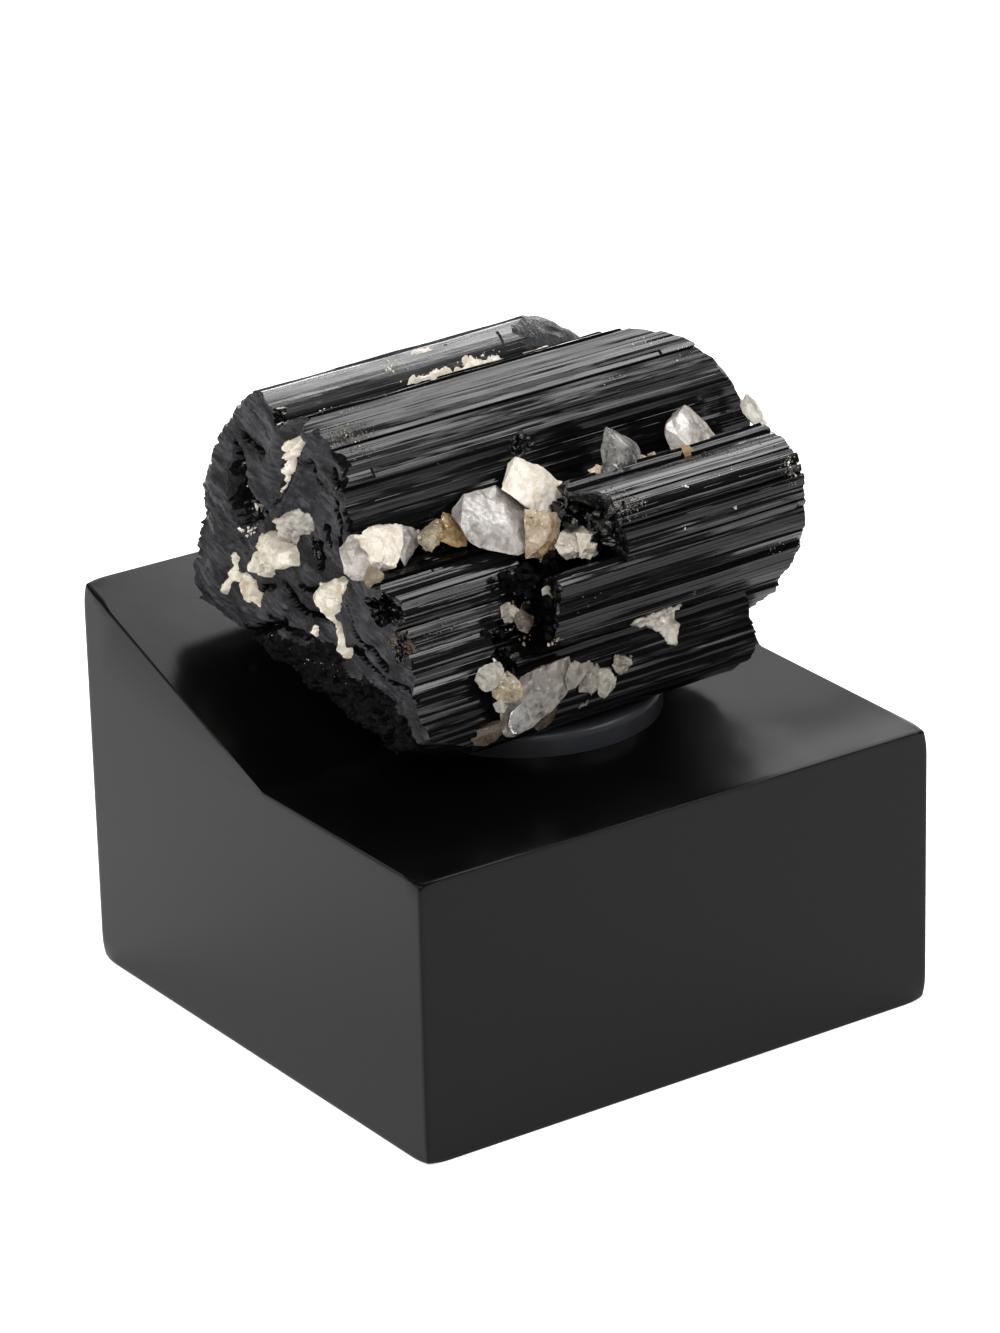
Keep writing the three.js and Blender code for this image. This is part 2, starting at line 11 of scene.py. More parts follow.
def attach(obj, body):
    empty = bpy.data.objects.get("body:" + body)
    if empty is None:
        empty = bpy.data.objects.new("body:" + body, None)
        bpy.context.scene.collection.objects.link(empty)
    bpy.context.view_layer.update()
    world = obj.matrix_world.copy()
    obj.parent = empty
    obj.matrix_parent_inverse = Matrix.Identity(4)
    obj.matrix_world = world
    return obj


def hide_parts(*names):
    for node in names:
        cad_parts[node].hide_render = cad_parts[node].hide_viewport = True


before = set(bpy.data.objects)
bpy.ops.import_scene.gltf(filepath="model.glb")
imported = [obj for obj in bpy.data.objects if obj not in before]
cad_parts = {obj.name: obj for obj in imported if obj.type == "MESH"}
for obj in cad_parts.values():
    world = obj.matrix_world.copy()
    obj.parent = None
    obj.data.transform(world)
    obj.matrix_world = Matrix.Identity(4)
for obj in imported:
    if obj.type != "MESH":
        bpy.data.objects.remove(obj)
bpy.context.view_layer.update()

# The stand: a wooden block with a flat front half and a rear half that rises at the back. It is sprayed
# satin black, its arrises are just broken and its corners are rubbed round.
MM = 0.001
TABLE = Matrix.Scale(MM, 4)
BLOCK_WIDTH = 100.0
BLOCK_DEPTH = 98.0
FRONT_HEIGHT = 48.5
REAR_HEIGHT = 68.5
FLAT_DEPTH = 44.5
ARRIS = 0.4
ARRIS_ANGLE = 0.6
CORNER_REACH = 4.5
CORNER_CUTS = (1.0, 2.0, 3.2, CORNER_REACH)
CORNER_PULL = 1.1


def put(name, bm, finish):
    """Makes an object of a bmesh."""
    mesh = bpy.data.meshes.new(name)
    bm.to_mesh(mesh)
    bm.free()
    mesh.materials.append(finish.material)
    made = bpy.data.objects.new(name, mesh)
    bpy.context.scene.collection.objects.link(made)
    return made


def smooth_below(mesh, degrees):
    mesh.shade_smooth()
    mesh.set_sharp_from_angle(angle=math.radians(degrees))


def add_piece(name, bm, lay, finish, slot, nodes=(), smooth=None):
    """Lays a bmesh that is drawn in millimetres in its place, and makes it a piece."""
    bm.transform(lay)
    bm.normal_update()
    piece = put(name, bm, finish)
    if smooth:
        smooth_below(piece.data, smooth)
    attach(piece, "root")
    if nodes:
        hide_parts(*nodes)


def verts_in(parts):
    return [part for part in parts if isinstance(part, bmesh.types.BMVert)]


def slice_through(bm, place, across, **options):
    """Cuts all faces along a plane, and gives the edges of the cut."""
    cut = bmesh.ops.bisect_plane(bm, geom=bm.verts[:] + bm.edges[:] + bm.faces[:], plane_co=place,
                                 plane_no=across, **options)
    return [part for part in cut["geom_cut"] if isinstance(part, bmesh.types.BMEdge)]


class Finish:
    """A material: its shader's plain values, and textures in millimetres of the object's own space."""

    def __init__(self, name, colour, roughness, **values):
        self.material = bpy.data.materials.new(name)
        self.material.use_nodes = True
        self.tree = self.material.node_tree
        self.shader = self.tree.nodes["Principled BSDF"]
        self.shader.inputs["Base Color"].default_value = (*colour, 1.0)
        self.shader.inputs["Roughness"].default_value = roughness
        for socket, value in values.items():
            self.shader.inputs[socket.replace("_", " ")].default_value = value

    def node(self, kind, inputs, **settings):
        made = self.tree.nodes.new(kind)
        for key, value in settings.items():
            setattr(made, key, value)
        for key, value in inputs.items():
            if isinstance(value, bpy.types.NodeSocket):
                self.tree.links.new(value, made.inputs[key])
            else:
                made.inputs[key].default_value = value
        return made

    def space(self, scale=(1, 1, 1), turn=0.0, tilt=0.0):
        """Object coordinates in millimetres, turned about Z, tilted about X and then stretched."""
        where = self.node("ShaderNodeTexCoord", {}).outputs["Object"]
        turned = self.node("ShaderNodeMapping", {"Vector": where, "Rotation": (tilt, 0, turn)})
        sizes = [part / MM for part in scale]
        return self.node("ShaderNodeMapping", {"Vector": turned.outputs[0], "Scale": sizes}).outputs[0]

    def cloud(self, space, scale, detail=3.0, rough=0.55, distortion=0.0):
        return self.node("ShaderNodeTexNoise", {
            "Vector": space, "Scale": scale, "Detail": detail, "Roughness": rough,
            "Distortion": distortion}).outputs[0]

    def ramp(self, value, *stops):
        made = self.node("ShaderNodeValToRGB", {"Fac": value})
        elements = made.color_ramp.elements
        while len(elements) < len(stops):
            elements.new(0.5)
        for element, (place, colour) in zip(elements, stops):
            element.position = place
            element.color = (*colour, 1.0) if isinstance(colour, tuple) else (colour, colour, colour, 1.0)
        return made.outputs[0]

    def mix(self, part, first, second):
        made = self.node("ShaderNodeMix", {0: part}, data_type="RGBA")
        for index, colour in ((6, first), (7, second)):
            if isinstance(colour, bpy.types.NodeSocket):
                self.tree.links.new(colour, made.inputs[index])
            else:
                made.inputs[index].default_value = (*colour, 1.0)
        return made.outputs[2]

    def bump(self, height, distance, strength=1.0, below=None):
        """A relief of so many millimetres, over the one below it."""
        inputs = {"Height": height, "Distance": distance * MM, "Strength": strength}
        if below is not None:
            inputs["Normal"] = below
        return self.node("ShaderNodeBump", inputs).outputs[0]

    def use(self, socket, value):
        self.tree.links.new(value, self.shader.inputs[socket])

    def gloss(self, clouds, *stops):
        """A roughness that changes with the clouds, from one (level, roughness) to the next."""
        self.use("Roughness", self.ramp(clouds, *stops))

    def relief(self, *bump):
        self.use("Normal", self.bump(*bump))


satin = Finish("satin_black", (0.0015, 0.0015, 0.0016), 0.27, Specular_IOR_Level=0.14)
even = satin.space()
satin.gloss(satin.cloud(even, 0.08, 4), (0.3, 0.2), (0.7, 0.26))
peel = satin.bump(satin.cloud(even, 1.6, 2), 0.02, 0.35)
satin.relief(satin.cloud(satin.space((0.05, 1, 1)), 2.2, 3), 0.015, 0.25, peel)

bm = bmesh.new()
bmesh.ops.create_cube(bm, size=1.0)
bmesh.ops.scale(bm, vec=(BLOCK_WIDTH, BLOCK_DEPTH, FRONT_HEIGHT), verts=bm.verts)
bmesh.ops.translate(bm, vec=(0, 0, FRONT_HEIGHT / 2), verts=bm.verts)
fold = FLAT_DEPTH - BLOCK_DEPTH / 2
slice_through(bm, (0, fold, 0), (0, 1, 0))
for vert in bm.verts:
    if vert.co.y > fold + 1 and vert.co.z > 1:
        vert.co.z = REAR_HEIGHT
corners = [vert.co.copy() for vert in bm.verts if abs(vert.co.y) > BLOCK_DEPTH / 2 - 1]
bmesh.ops.bevel(bm, geom=[edge for edge in bm.edges if edge.calc_face_angle() > ARRIS_ANGLE],
                offset=ARRIS, segments=3, profile=0.5, affect="EDGES", material=-1)
for axis in range(3):
    across = Vector([int(k == axis) for k in range(3)])
    places = sorted({round(corner[axis], 3) for corner in corners})
    for place in (places[0], places[-1], FRONT_HEIGHT) if axis == 2 else (places[0], places[-1]):
        for reach in CORNER_CUTS:
            slice_through(bm, across * (place - reach), across)
            slice_through(bm, across * (place + reach), across)
middle = Vector((0, 0, FRONT_HEIGHT / 2))
for vert in bm.verts:
    for corner in corners:
        apart = (vert.co - corner).length / CORNER_REACH
        if apart < 1:
            inward = Vector([-math.copysign(1, part) for part in corner - middle])
            vert.co += inward * CORNER_PULL / 3 * (1 - apart) ** 2
add_piece("stand_block", bm, TABLE, satin, "stand", ["base"], 25)

# The pad: a round pad of dark rubber under the specimen. Its rim is rounded, and it is pressed into the
# stand's fold, so its rear follows the slope.
PAD_PLACE = (4.2, -0.3)
PAD_RADIUS = 22.8
PAD_THICKNESS = 4.4
PAD_ROUNDING = 1.6
GAP = 0.3

rubber = Finish("pad_rubber", (0.024, 0.025, 0.03), 0.38)
even = rubber.space()
rubber.gloss(rubber.cloud(even, 0.25, 3), (0.35, 0.3), (0.7, 0.48))
rubber.relief(rubber.cloud(even, 2.4, 3), 0.02, 0.3)

bm = bmesh.new()
bmesh.ops.create_circle(bm, cap_ends=True, segments=128, radius=PAD_RADIUS)
bmesh.ops.translate(bm, vec=(*PAD_PLACE, FRONT_HEIGHT + GAP), verts=bm.verts)
top = verts_in(bmesh.ops.extrude_face_region(bm, geom=bm.faces[:])["geom"])
bmesh.ops.translate(bm, vec=(0, 0, PAD_THICKNESS), verts=top)
rim = [edge for edge in bm.edges if all(vert in top for vert in edge.verts)]
bmesh.ops.bevel(bm, geom=rim, offset=PAD_ROUNDING, segments=6, profile=0.5, affect="EDGES", material=-1)
slope = (REAR_HEIGHT - FRONT_HEIGHT) / (BLOCK_DEPTH - FLAT_DEPTH)
rear = slice_through(bm, (0, fold, FRONT_HEIGHT + GAP), (0, -slope, 1), clear_inner=True)
bmesh.ops.contextual_create(bm, geom=rear)
bmesh.ops.recalc_face_normals(bm, faces=bm.faces)
add_piece("rubber_pad", bm, TABLE, rubber, "pad", ["pad"], 35)

# The schorl: a bundle of black tourmaline prisms, grown side by side. Their sides are ribbed along their
# length, the left end is broken across in one slate-like face, and the right ends are broken off rough.
# It is measured in S along the prisms, U across them to the back and V up from the table, in millimetres.
YAW = math.radians(3.5)
LAY = Matrix.Rotation(YAW, 4, "Z") @ TABLE
LEFT_END = -36.2
BAR_LEFT = -46.0
ROW_LENGTH = 2.5
CURVE_STEPS = 24
TANGENT_REACH = 0.4
RIB_WIDTHS = (0.7, 0.9, 1.2, 1.6, 2.1, 3.0)
RIB_LEANS = (-0.46, -0.34, -0.2, -0.05, 0.1, 0.24, 0.38, 0.46)
RIB_STEPS = (0, 0, 0, 0, 0.12, -0.14)


def scatter(i, j, seed):
    value = math.sin(i * 127.1 + j * 311.7 + seed * 74.7) * 43758.5453
    return value - math.floor(value)


def ease(part):
    return part * part * (3 - 2 * part)


def swell(x, y, seed):
    i, j = math.floor(x), math.floor(y)
    fx, fy = ease(x - i), ease(y - j)
    near = scatter(i, j, seed) * (1 - fx) + scatter(i + 1, j, seed) * fx
    far = scatter(i, j + 1, seed) * (1 - fx) + scatter(i + 1, j + 1, seed) * fx
    return near * (1 - fy) + far * fy


def wave(*at):
    return noise.noise(Vector(at))


def unevenness(u, v, seed):
    """The broad relief of a broken end: scallops with sharp crests, and small steps on them."""
    scallop = abs(swell(u / 9, v / 9, seed) - 0.5) * 2
    step = swell(u / 3.4, v / 3.4, seed + 40) - 0.5
    return 2.6 * (0.45 - scallop) + 1.1 * step


def grit(u, v, seed):
    """The fine relief of a broken face, from -1 to 1."""
    return 0.65 * wave(u / 2.2, v / 2.2, seed) + 0.35 * wave(u / 0.8, v / 0.8, seed + 9)


def mound(u, v, centre, radius):
    return math.exp(-((u - centre[0]) ** 2 + (v - centre[1]) ** 2) / radius ** 2)


def rounded_end(reach, centre, radius, drop, seed, power=3.4, back=0.0):
    def place(u, v):
        out = math.hypot(u - centre[0], v - centre[1]) / radius
        fall = drop * min(1.4, out ** power) + back * max(0.0, u - centre[0])
        return reach - fall + 0.7 * unevenness(u, v, seed) + 0.3 * grit(u, v, seed)
    return place


# Corners of each prism's section as (U, V), its right end, and its own left end where it doesn't reach the
# bundle's broken left end
PRISMS = {
    "top_back": dict(
        corners=[(7.6, 103), (8.6, 106.6), (11.5, 108.7), (16, 108.6), (21, 104.6), (26, 98.2), (29, 91.6),
            (30.4, 86.5), (27, 81), (14, 82), (8, 92)],
        right=rounded_end(30.6, (18, 96), 13.4, 13.6, 3)),
    "top_front": dict(
        corners=[(9.4, 102), (7.6, 105.2), (4, 107), (-1.5, 107.5), (-4.8, 105.6), (-7.3, 100.8), (-8.6, 95),
            (-8.4, 90), (-6.6, 83.5), (2, 80), (10, 88)],
        right=rounded_end(48.5, (-4, 89), 17, 13, 5, power=1.7, back=0.6)),
    "right_upper": dict(
        corners=[(-9, 88), (-14.5, 92), (-18.5, 93.4), (-24.5, 92.3), (-27.8, 90), (-29.4, 86.4), (-28.8, 81),
            (-14, 77)],
        left=lambda u, v: (3 - 5 * mound(u, v, (-20, 93), 3) + 6 * mound(u, v, (-18, 83), 5)
            + 0.6 * unevenness(u, v, 7) + 0.7 * grit(u, v, 7)),
        right=rounded_end(42, (-16, 82), 14, 2, 9)),
    "right_lower": dict(
        corners=[(-14, 76.6), (-20, 79), (-26, 82), (-28.8, 82.8), (-29.4, 80), (-28.8, 77), (-27.6, 73.4),
            (-25.4, 70), (-22, 66), (-16, 61), (-8, 66), (-8, 74)],
        left=lambda u, v: (-10 + 0.45 * (u + 27) - 0.9 * max(0, 72.5 - v) + 0.4 * unevenness(u, v, 21)
            + 1.3 * grit(u, v, 21)),
        right=rounded_end(42, (-16, 82), 14, 2, 9)),
    "left_front": dict(
        corners=[(-5, 82.8), (-10, 84.9), (-15.6, 84.2), (-19, 79.6), (-21.4, 75.6), (-24, 71.4), (-25, 67),
            (-18, 63), (-4, 70)],
        right=lambda u, v: (max(-22.5, -9 - 0.6 * (84.4 - v) - 0.027 * max(0, 84.4 - v) ** 2)
            + 0.4 * unevenness(u, v, 11) + 1.1 * grit(u, v, 11))),
    "lower_front": dict(
        corners=[(-22.6, 70.6), (-25.6, 67), (-27.6, 63), (-27.2, 59.4), (-25, 56.6), (-21.4, 54.8),
            (-14, 54.4), (-6, 58), (-8, 68)],
        right=lambda u, v: 30.5 + unevenness(u, v, 13) + 0.5 * grit(u, v, 13)),
    "back": dict(
        corners=[(28.6, 87), (31.6, 84), (34.2, 78), (35.8, 70.4), (33.4, 66.6), (29, 64.6), (18, 62.6),
            (6, 60.8), (2, 72), (14, 84)],
        right=rounded_end(33, (22, 74), 14, 5, 17)),
    "underside": dict(
        corners=[(-16, 58), (-13, 54), (-8, 53.6), (5, 53.6), (11, 56), (17, 61), (12, 70), (-8, 70)],
        left=lambda u, v: -23 - 0.8 * (v - 54) + unevenness(u, v, 19) + 0.6 * grit(u, v, 19),
        right=lambda u, v: 34 + unevenness(u, v, 23) + 0.5 * grit(u, v, 23)),
    "core": dict(
        corners=[(6, 103), (-4, 98), (-5, 86), (-12, 83), (-17, 75), (-18, 64), (-12, 59.6), (8, 60.6),
            (24, 66), (28, 78), (25, 90), (16, 102)],
        right=rounded_end(37, (0, 80), 24, 8, 29)),
}


def smooth_outline(corners):
    """A dense closed curve through the corners: each stretch passes through its ends without overshoot."""
    count = len(corners)
    curve = []
    for k in range(count):
        p = [np.array(corners[(k + d) % count], float) for d in (-1, 0, 1, 2)]
        t = [0.0]
        for here, there in zip(p, p[1:]):
            t.append(t[-1] + math.sqrt(np.linalg.norm(there - here)))
        for step in range(CURVE_STEPS):
            x = t[1] + (t[2] - t[1]) * step / CURVE_STEPS
            a = [((t[i + 1] - x) * p[i] + (x - t[i]) * p[i + 1]) / (t[i + 1] - t[i]) for i in range(3)]
            b = [((t[i + 2] - x) * a[i] + (x - t[i]) * a[i + 1]) / (t[i + 2] - t[i]) for i in range(2)]
            curve.append(((t[2] - x) * b[0] + (x - t[1]) * b[1]) / (t[2] - t[1]))
    return np.array(curve)


def ribs(chance, length):
    """The ribs round a prism, as (place, height, rib) for each side of every fine line on a broad rib."""
    lines = []
    place = 0.0
    rib = 0
    while place < length - 1.2:
        width = chance.choice(RIB_WIDTHS)
        height = chance.uniform(-0.22, 0.22)
        lean = chance.choice(RIB_LEANS)
        if chance.random() < 0.2:
            width, height = 0.35, height - 0.55
        end = min(place + width, length)
        while place < end - 0.1:
            line = min(end - place, chance.uniform(0.22, 0.6))
            if end - place - line < 0.2:
                line = end - place
            for at in (place + 0.02, place + line - 0.06):
                across = (at - end) / width + 0.5
                lines.append((at, height + lean * width * across - 0.12 * across ** 2 * width
                              + chance.uniform(-0.05, 0.05), rib))
            place += line
        rib += 1
    return lines


def prism_bar(corners, right_end, seed):
    """A long ribbed bar with the prism's section."""
    chance = random.Random(seed)
    curve = smooth_outline(corners)
    steps = np.linalg.norm(np.roll(curve, -1, 0) - curve, axis=1)
    arc = np.concatenate([[0], np.cumsum(steps)])
    closed = np.vstack([curve, curve[:1]])
    lines = ribs(chance, arc[-1])
    places = np.array([line[0] for line in lines])
    here, ahead, behind = [
        np.stack([np.interp(at, arc, closed[:, k]) for k in (0, 1)], 1)
        for at in (places, (places + TANGENT_REACH) % arc[-1], (places - TANGENT_REACH) % arc[-1])]
    along = ahead - behind
    area = 0.5 * np.sum(curve[:, 0] * np.roll(curve[:, 1], -1) - curve[:, 1] * np.roll(curve[:, 0], -1))
    out = np.stack([along[:, 1], -along[:, 0]], 1) * np.sign(area)
    out /= np.linalg.norm(out, axis=1)[:, None]
    rows = int((right_end - BAR_LEFT) / ROW_LENGTH)
    step_row = [chance.randrange(3, rows - 2) for _ in range(lines[-1][2] + 1)]
    step_height = [chance.choice(RIB_STEPS) for _ in step_row]

    bm = bmesh.new()
    bmesh.ops.create_circle(bm, cap_ends=True, segments=len(places), radius=1)
    column = bm.verts.layers.int.new("column")
    bm.verts.ensure_lookup_table()
    for j, vert in enumerate(bm.verts):
        vert[column] = j
        vert.co = (BAR_LEFT, *here[j])
    grown = verts_in(bmesh.ops.extrude_face_region(bm, geom=bm.faces[:])["geom"])
    bmesh.ops.translate(bm, vec=(right_end - BAR_LEFT, 0, 0), verts=grown)
    long_edges = [edge for edge in bm.edges if abs(edge.verts[0].co.x - edge.verts[1].co.x) > 1]
    bmesh.ops.subdivide_edges(bm, edges=long_edges, cuts=rows - 1, use_grid_fill=True)
    for vert in bm.verts:
        s, u, v = vert.co
        j = vert[column]
        rib = lines[j][2]
        row = round((s - BAR_LEFT) / (right_end - BAR_LEFT) * rows)
        height = lines[j][1] * (0.85 + 0.5 * wave(s / 14, rib * 0.7, seed))
        height += 0.25 * wave(s / 24, u / 9, v / 9 + seed)
        height += 0.1 * wave(s / 9, rib * 3.1, seed + 5)
        height += 0.03 * wave(s / 2.6, j * 1.3, seed + 3)
        if row > step_row[rib]:
            height += step_height[rib]
        if step_height[rib] and row == step_row[rib] + 1:
            s -= ROW_LENGTH * 0.8
        vert.co = (s, u + out[j][0] * height, v + out[j][1] * height)
    return bm


def loose(bm, finish):
    """A part that only shapes the bundle or a crystal, and is deleted after it."""
    bmesh.ops.recalc_face_normals(bm, faces=bm.faces)
    return put("loose", bm, finish)


def grid_over(low, high, cell):
    """A grid of square cells, and the place of each of its points between low and high."""
    bm = bmesh.new()
    counts = [round((high[k] - low[k]) / cell) for k in (0, 1)]
    bmesh.ops.create_grid(bm, x_segments=counts[0], y_segments=counts[1], size=0.5)
    return bm, *[np.array([low[k] + (vert.co[k] + 0.5) * (high[k] - low[k]) for vert in bm.verts])
                 for k in (0, 1)]


def each(place):
    return lambda us, vs: np.array([place(u, v) for u, v in zip(us, vs)])


def broken_face(low, high, cell, place, towards, finish):
    """A block whose near face is broken: place gives S for arrays of U and V, and towards is its far end."""
    bm, us, vs = grid_over(low, high, cell)
    for vert, s, u, v in zip(bm.verts, place(us, vs), us, vs):
        vert.co = (s, u, v)
    for vert in verts_in(bmesh.ops.extrude_face_region(bm, geom=bm.faces[:])["geom"]):
        vert.co.x = towards
    return loose(bm, finish)


def join(target, tool, operation):
    """Unites or cuts a part with another, and deletes the other."""
    step = target.modifiers.new("step", "BOOLEAN")
    step.object, step.operation, step.solver, step.material_mode = tool, operation, "MANIFOLD", "TRANSFER"
    result = bpy.data.meshes.new_from_object(target.evaluated_get(bpy.context.evaluated_depsgraph_get()))
    target.modifiers.clear()
    target.data = result
    bpy.data.objects.remove(tool)


def unite(parts):
    """Joins parts one after the other."""
    whole = next(parts)
    for part in parts:
        join(whole, part, "UNION")
    return whole


SCHORL_IOR = 1.63
ribbed = Finish("schorl_ribbed", (0.003, 0.003, 0.0032), 0.18, IOR=SCHORL_IOR, Specular_IOR_Level=0.16)
# A darker, less shiny copy of the ribbed finish for the low prisms that face down: painted shade.
ribs_painted_shade = Finish("schorl_ribs_painted_shade", (0.002, 0.002, 0.0022), 0.25, IOR=SCHORL_IOR, Specular_IOR_Level=0.1)
# A rougher, dusty copy of the ribbed finish for the top back prism, with a lighter colour and a stronger
# sheen: real dust, and painted light on the top of the bundle that faces the lamps.
dusty_ribs_painted_light = Finish("schorl_dusty_ribs_painted_light", (0.012, 0.012, 0.0125), 0.35, IOR=SCHORL_IOR, Specular_IOR_Level=0.5)
for finish, smoothest, roughest, depth in (
        (ribbed, 0.07, 0.24, 0.035), (ribs_painted_shade, 0.07, 0.24, 0.035), (dusty_ribs_painted_light, 0.16, 0.34, 0.12)):
    lines = finish.cloud(finish.space((0.004, 1, 1), -YAW), 2.4, 4, 0.6)
    bands = finish.cloud(finish.space((0.03, 1, 1), -YAW), 0.55, 3)
    finish.gloss(bands, (0.3, smoothest), (0.75, roughest))
    fine = finish.bump(lines, depth, 0.6)
    finish.relief(finish.cloud(finish.space(), 3.0, 2), 0.01, 0.3, fine)

FIBRE_TILT = -0.35
SLATE_DARK = (0.011, 0.0108, 0.012)
slate = Finish("schorl_broken", (0.009, 0.009, 0.0095), 0.45, IOR=SCHORL_IOR, Specular_IOR_Level=0.09)
streaks = slate.cloud(slate.space((1, 0.16, 1), 0, FIBRE_TILT), 1.5, 4, 0.6, 0.5)
veins = slate.cloud(slate.space((1, 0.35, 1), 0, FIBRE_TILT), 0.8, 5, 0.62, 1.2)
broad = slate.cloud(slate.space((1, 0.45, 1), 0, FIBRE_TILT), 0.28, 5, 0.6, 1.0)
tone = slate.ramp(streaks, (0.36, (0.012, 0.0118, 0.013)), (0.64, (0.056, 0.055, 0.061)))
slate.use("Base Color", slate.mix(slate.ramp(broad, (0.4, 1.0), (0.56, 0.0)), tone, SLATE_DARK))
slate.gloss(veins, (0.36, 0.26), (0.66, 0.62))
folds = slate.bump(veins, 0.6, 0.8)
slate.relief(streaks, 0.07, 0.6, folds)

# A darker, duller copy of the broken face for its cracks, its crumbly bottom edge and the rubble down in the
# pits: painted shade in these hollows, over real crumbly relief.
crumbs_painted_shade = Finish("schorl_crumbs_painted_shade", (0.002, 0.002, 0.0021), 0.45, IOR=SCHORL_IOR, Specular_IOR_Level=0.03)
even = crumbs_painted_shade.space()
crumbs_painted_shade.gloss(crumbs_painted_shade.cloud(even, 1.2, 3), (0.35, 0.25), (0.7, 0.6))
crumbs_painted_shade.relief(crumbs_painted_shade.cloud(even, 1.8, 4, 0.6), 0.2, 0.6)

pitted = Finish("schorl_pitted", (0.0015, 0.0015, 0.0016), 0.2, IOR=SCHORL_IOR, Specular_IOR_Level=0.4)
even = pitted.space()
pitted.gloss(pitted.cloud(even, 1.4, 3), (0.35, 0.07), (0.7, 0.26))
pitted.relief(pitted.cloud(even, 1.5, 4, 0.6), 0.25, 0.6)

# Features of the broken left end as (U, V): the open vug, cracks as (width, depth, line), a ridge with a
# valley beside it, and the middle and the two directions of the undercut bottom
VUG_DEPTH = 5.6
VUG = [(22.3, 99.0), (23.4, 93.9), (23.0, 88.8), (21.9, 84.8), (19.6, 83.2), (16.0, 85.6), (13.7, 88.8),
       (15.7, 90.0), (18.3, 91.9), (19.1, 95.1), (20.7, 97.7)]
CRACKS = [
    (0.7, 2.0, [(26, 63.6), (24.8, 64.1), (20.8, 65.5), (16.5, 67.7), (13.5, 69.0), (9.8, 70.6)]),
    (0.55, 1.2, [(14.2, 70.3), (10.1, 70.3), (7.4, 69.8), (2.6, 69.9)]),
    (0.6, 1.8, [(9.8, 76.8), (7.6, 75.0), (5.5, 73.9), (1.6, 74.4), (-1.9, 75.1), (-4.4, 74.4)]),
    (0.55, 1.4, [(-8.1, 71.7), (-11.2, 72.3), (-14.0, 70.9), (-20.5, 69.0), (-26.8, 68.0)]),
    (0.5, 1.2, [(-7.2, 78.5), (-8.4, 75.4), (-11.0, 73.6), (-14.2, 73.6), (-18.3, 71.6)]),
    (0.5, 1.0, [(1.8, 100.3), (1.0, 97.1), (-2.0, 96.6)]),
    (0.9, 2.4, [(0.3, 86.6), (-0.2, 83.7)]),
    (0.7, 1.8, [(-1.6, 89.9), (-2.3, 87.8)]),
    (0.5, 1.2, [(20.9, 99.6), (17.8, 99.1), (15.1, 98.3)]),
    (0.5, 1.2, [(9.4, 91.7), (8.0, 93.0), (4.9, 99.0), (1.9, 104.1)]),
    (1.0, 2.2, [(-6.6, 103.6), (-7.6, 102.0), (-8.0, 100.4)]),
    (0.6, 1.6, [(-3.8, 100.2), (-5.8, 99.0), (-8.2, 98.9)]),
    (0.9, 2.2, [(-7.4, 93.8), (-7.8, 92.0)]),
    (0.6, 1.4, [(-4.6, 96.4), (-4.4, 93.6), (-5.4, 91.0), (-5.0, 88.2)]),
    (0.5, 1.2, [(-1.0, 80.2), (1.6, 79.0), (4.2, 78.6)]),
    (0.5, 1.2, [(13.0, 76.2), (15.8, 75.0), (17.6, 72.6)]),
]
RIDGE = [(-0.2, 106.8), (1.9, 104.1), (4.9, 99), (7.6, 93.5), (8.6, 91)]
VALLEY = [(1.2, 107.8), (4.4, 103.6), (7.4, 99), (9.6, 94.5)]
UNDERCUT = (-20, 57.3)
UNDERCUT_FRONT = (-0.547, -0.837)
UNDERCUT_BACK = (0.187, -1)
UNDERCUT_SLOPE = 2.6
CRUMBLY_EDGE = ([-27.8, -23.8, -20.4, -14, -9.9, 0.4, 9.3, 20.2, 26],
                [60, 61.5, 64, 67.5, 69, 69, 69, 66.3, 64])


def line_distance(us, vs, points):
    """How far each (U, V) is from an open line through the points."""
    best = np.full(len(us), 1e9)
    for (u0, v0), (u1, v1) in zip(points, points[1:]):
        du, dv = u1 - u0, v1 - v0
        t = np.clip(((us - u0) * du + (vs - v0) * dv) / (du * du + dv * dv), 0, 1)
        best = np.minimum(best, np.hypot(us - u0 - t * du, vs - v0 - t * dv))
    return best


def fold_along(us, vs, points, width, depth):
    """A fold that is deepest on the line and dies out beside it."""
    return depth * np.exp(-(line_distance(us, vs, points) / width) ** 2)


def depth_inside(us, vs, outline):
    """How far each (U, V) is inside a closed outline, and 0 outside it."""
    inside = np.zeros(len(us), bool)
    for (u0, v0), (u1, v1) in zip(outline, outline[1:] + outline[:1]):
        crosses = (v0 > vs) != (v1 > vs)
        inside ^= crosses & (us < (u1 - u0) * (vs - v0) / (v1 - v0 + 1e-9) + u0)
    return np.where(inside, line_distance(us, vs, outline + outline[:1]), 0)


# The seed of the wander of cracks and crusts, so that each run gives the same ones
noise.seed_set(1)


def wander(us, vs, length, reach, seed):
    """Shifts each (U, V) a little, so that a drawn line comes out uneven."""
    shake = each(lambda u, v: noise.noise_vector(Vector((u / length, v / length, seed))))(us, vs)
    return us + reach * shake[:, 0], vs + reach * shake[:, 1]


def chips(where, size):
    """Small flat chips at all angles: the relief of a grainy face, from about -1 to 1."""
    near = noise.voronoi(where / size)[1][0]
    lean = noise.cell_vector(near * 9) - Vector((0.5, 0.5, 0.5))
    return 2.4 * (where / size - near).dot(lean) + lean.x


def crumbly(u, v):
    """How crumbly the broken end is: 1 along its bottom edge, 0 above."""
    edge = v - np.interp(u, *CRUMBLY_EDGE) - 3 * wave(u / 4, v / 4, 7)
    return min(1, max(0, 0.5 - edge / 3))


def hackly(u, v):
    """The relief of the broken right ends."""
    return 0.5 * chips(Vector((u, v, 9)), 3.4) + 0.2 * chips(Vector((u, v, 9)), 1.4)


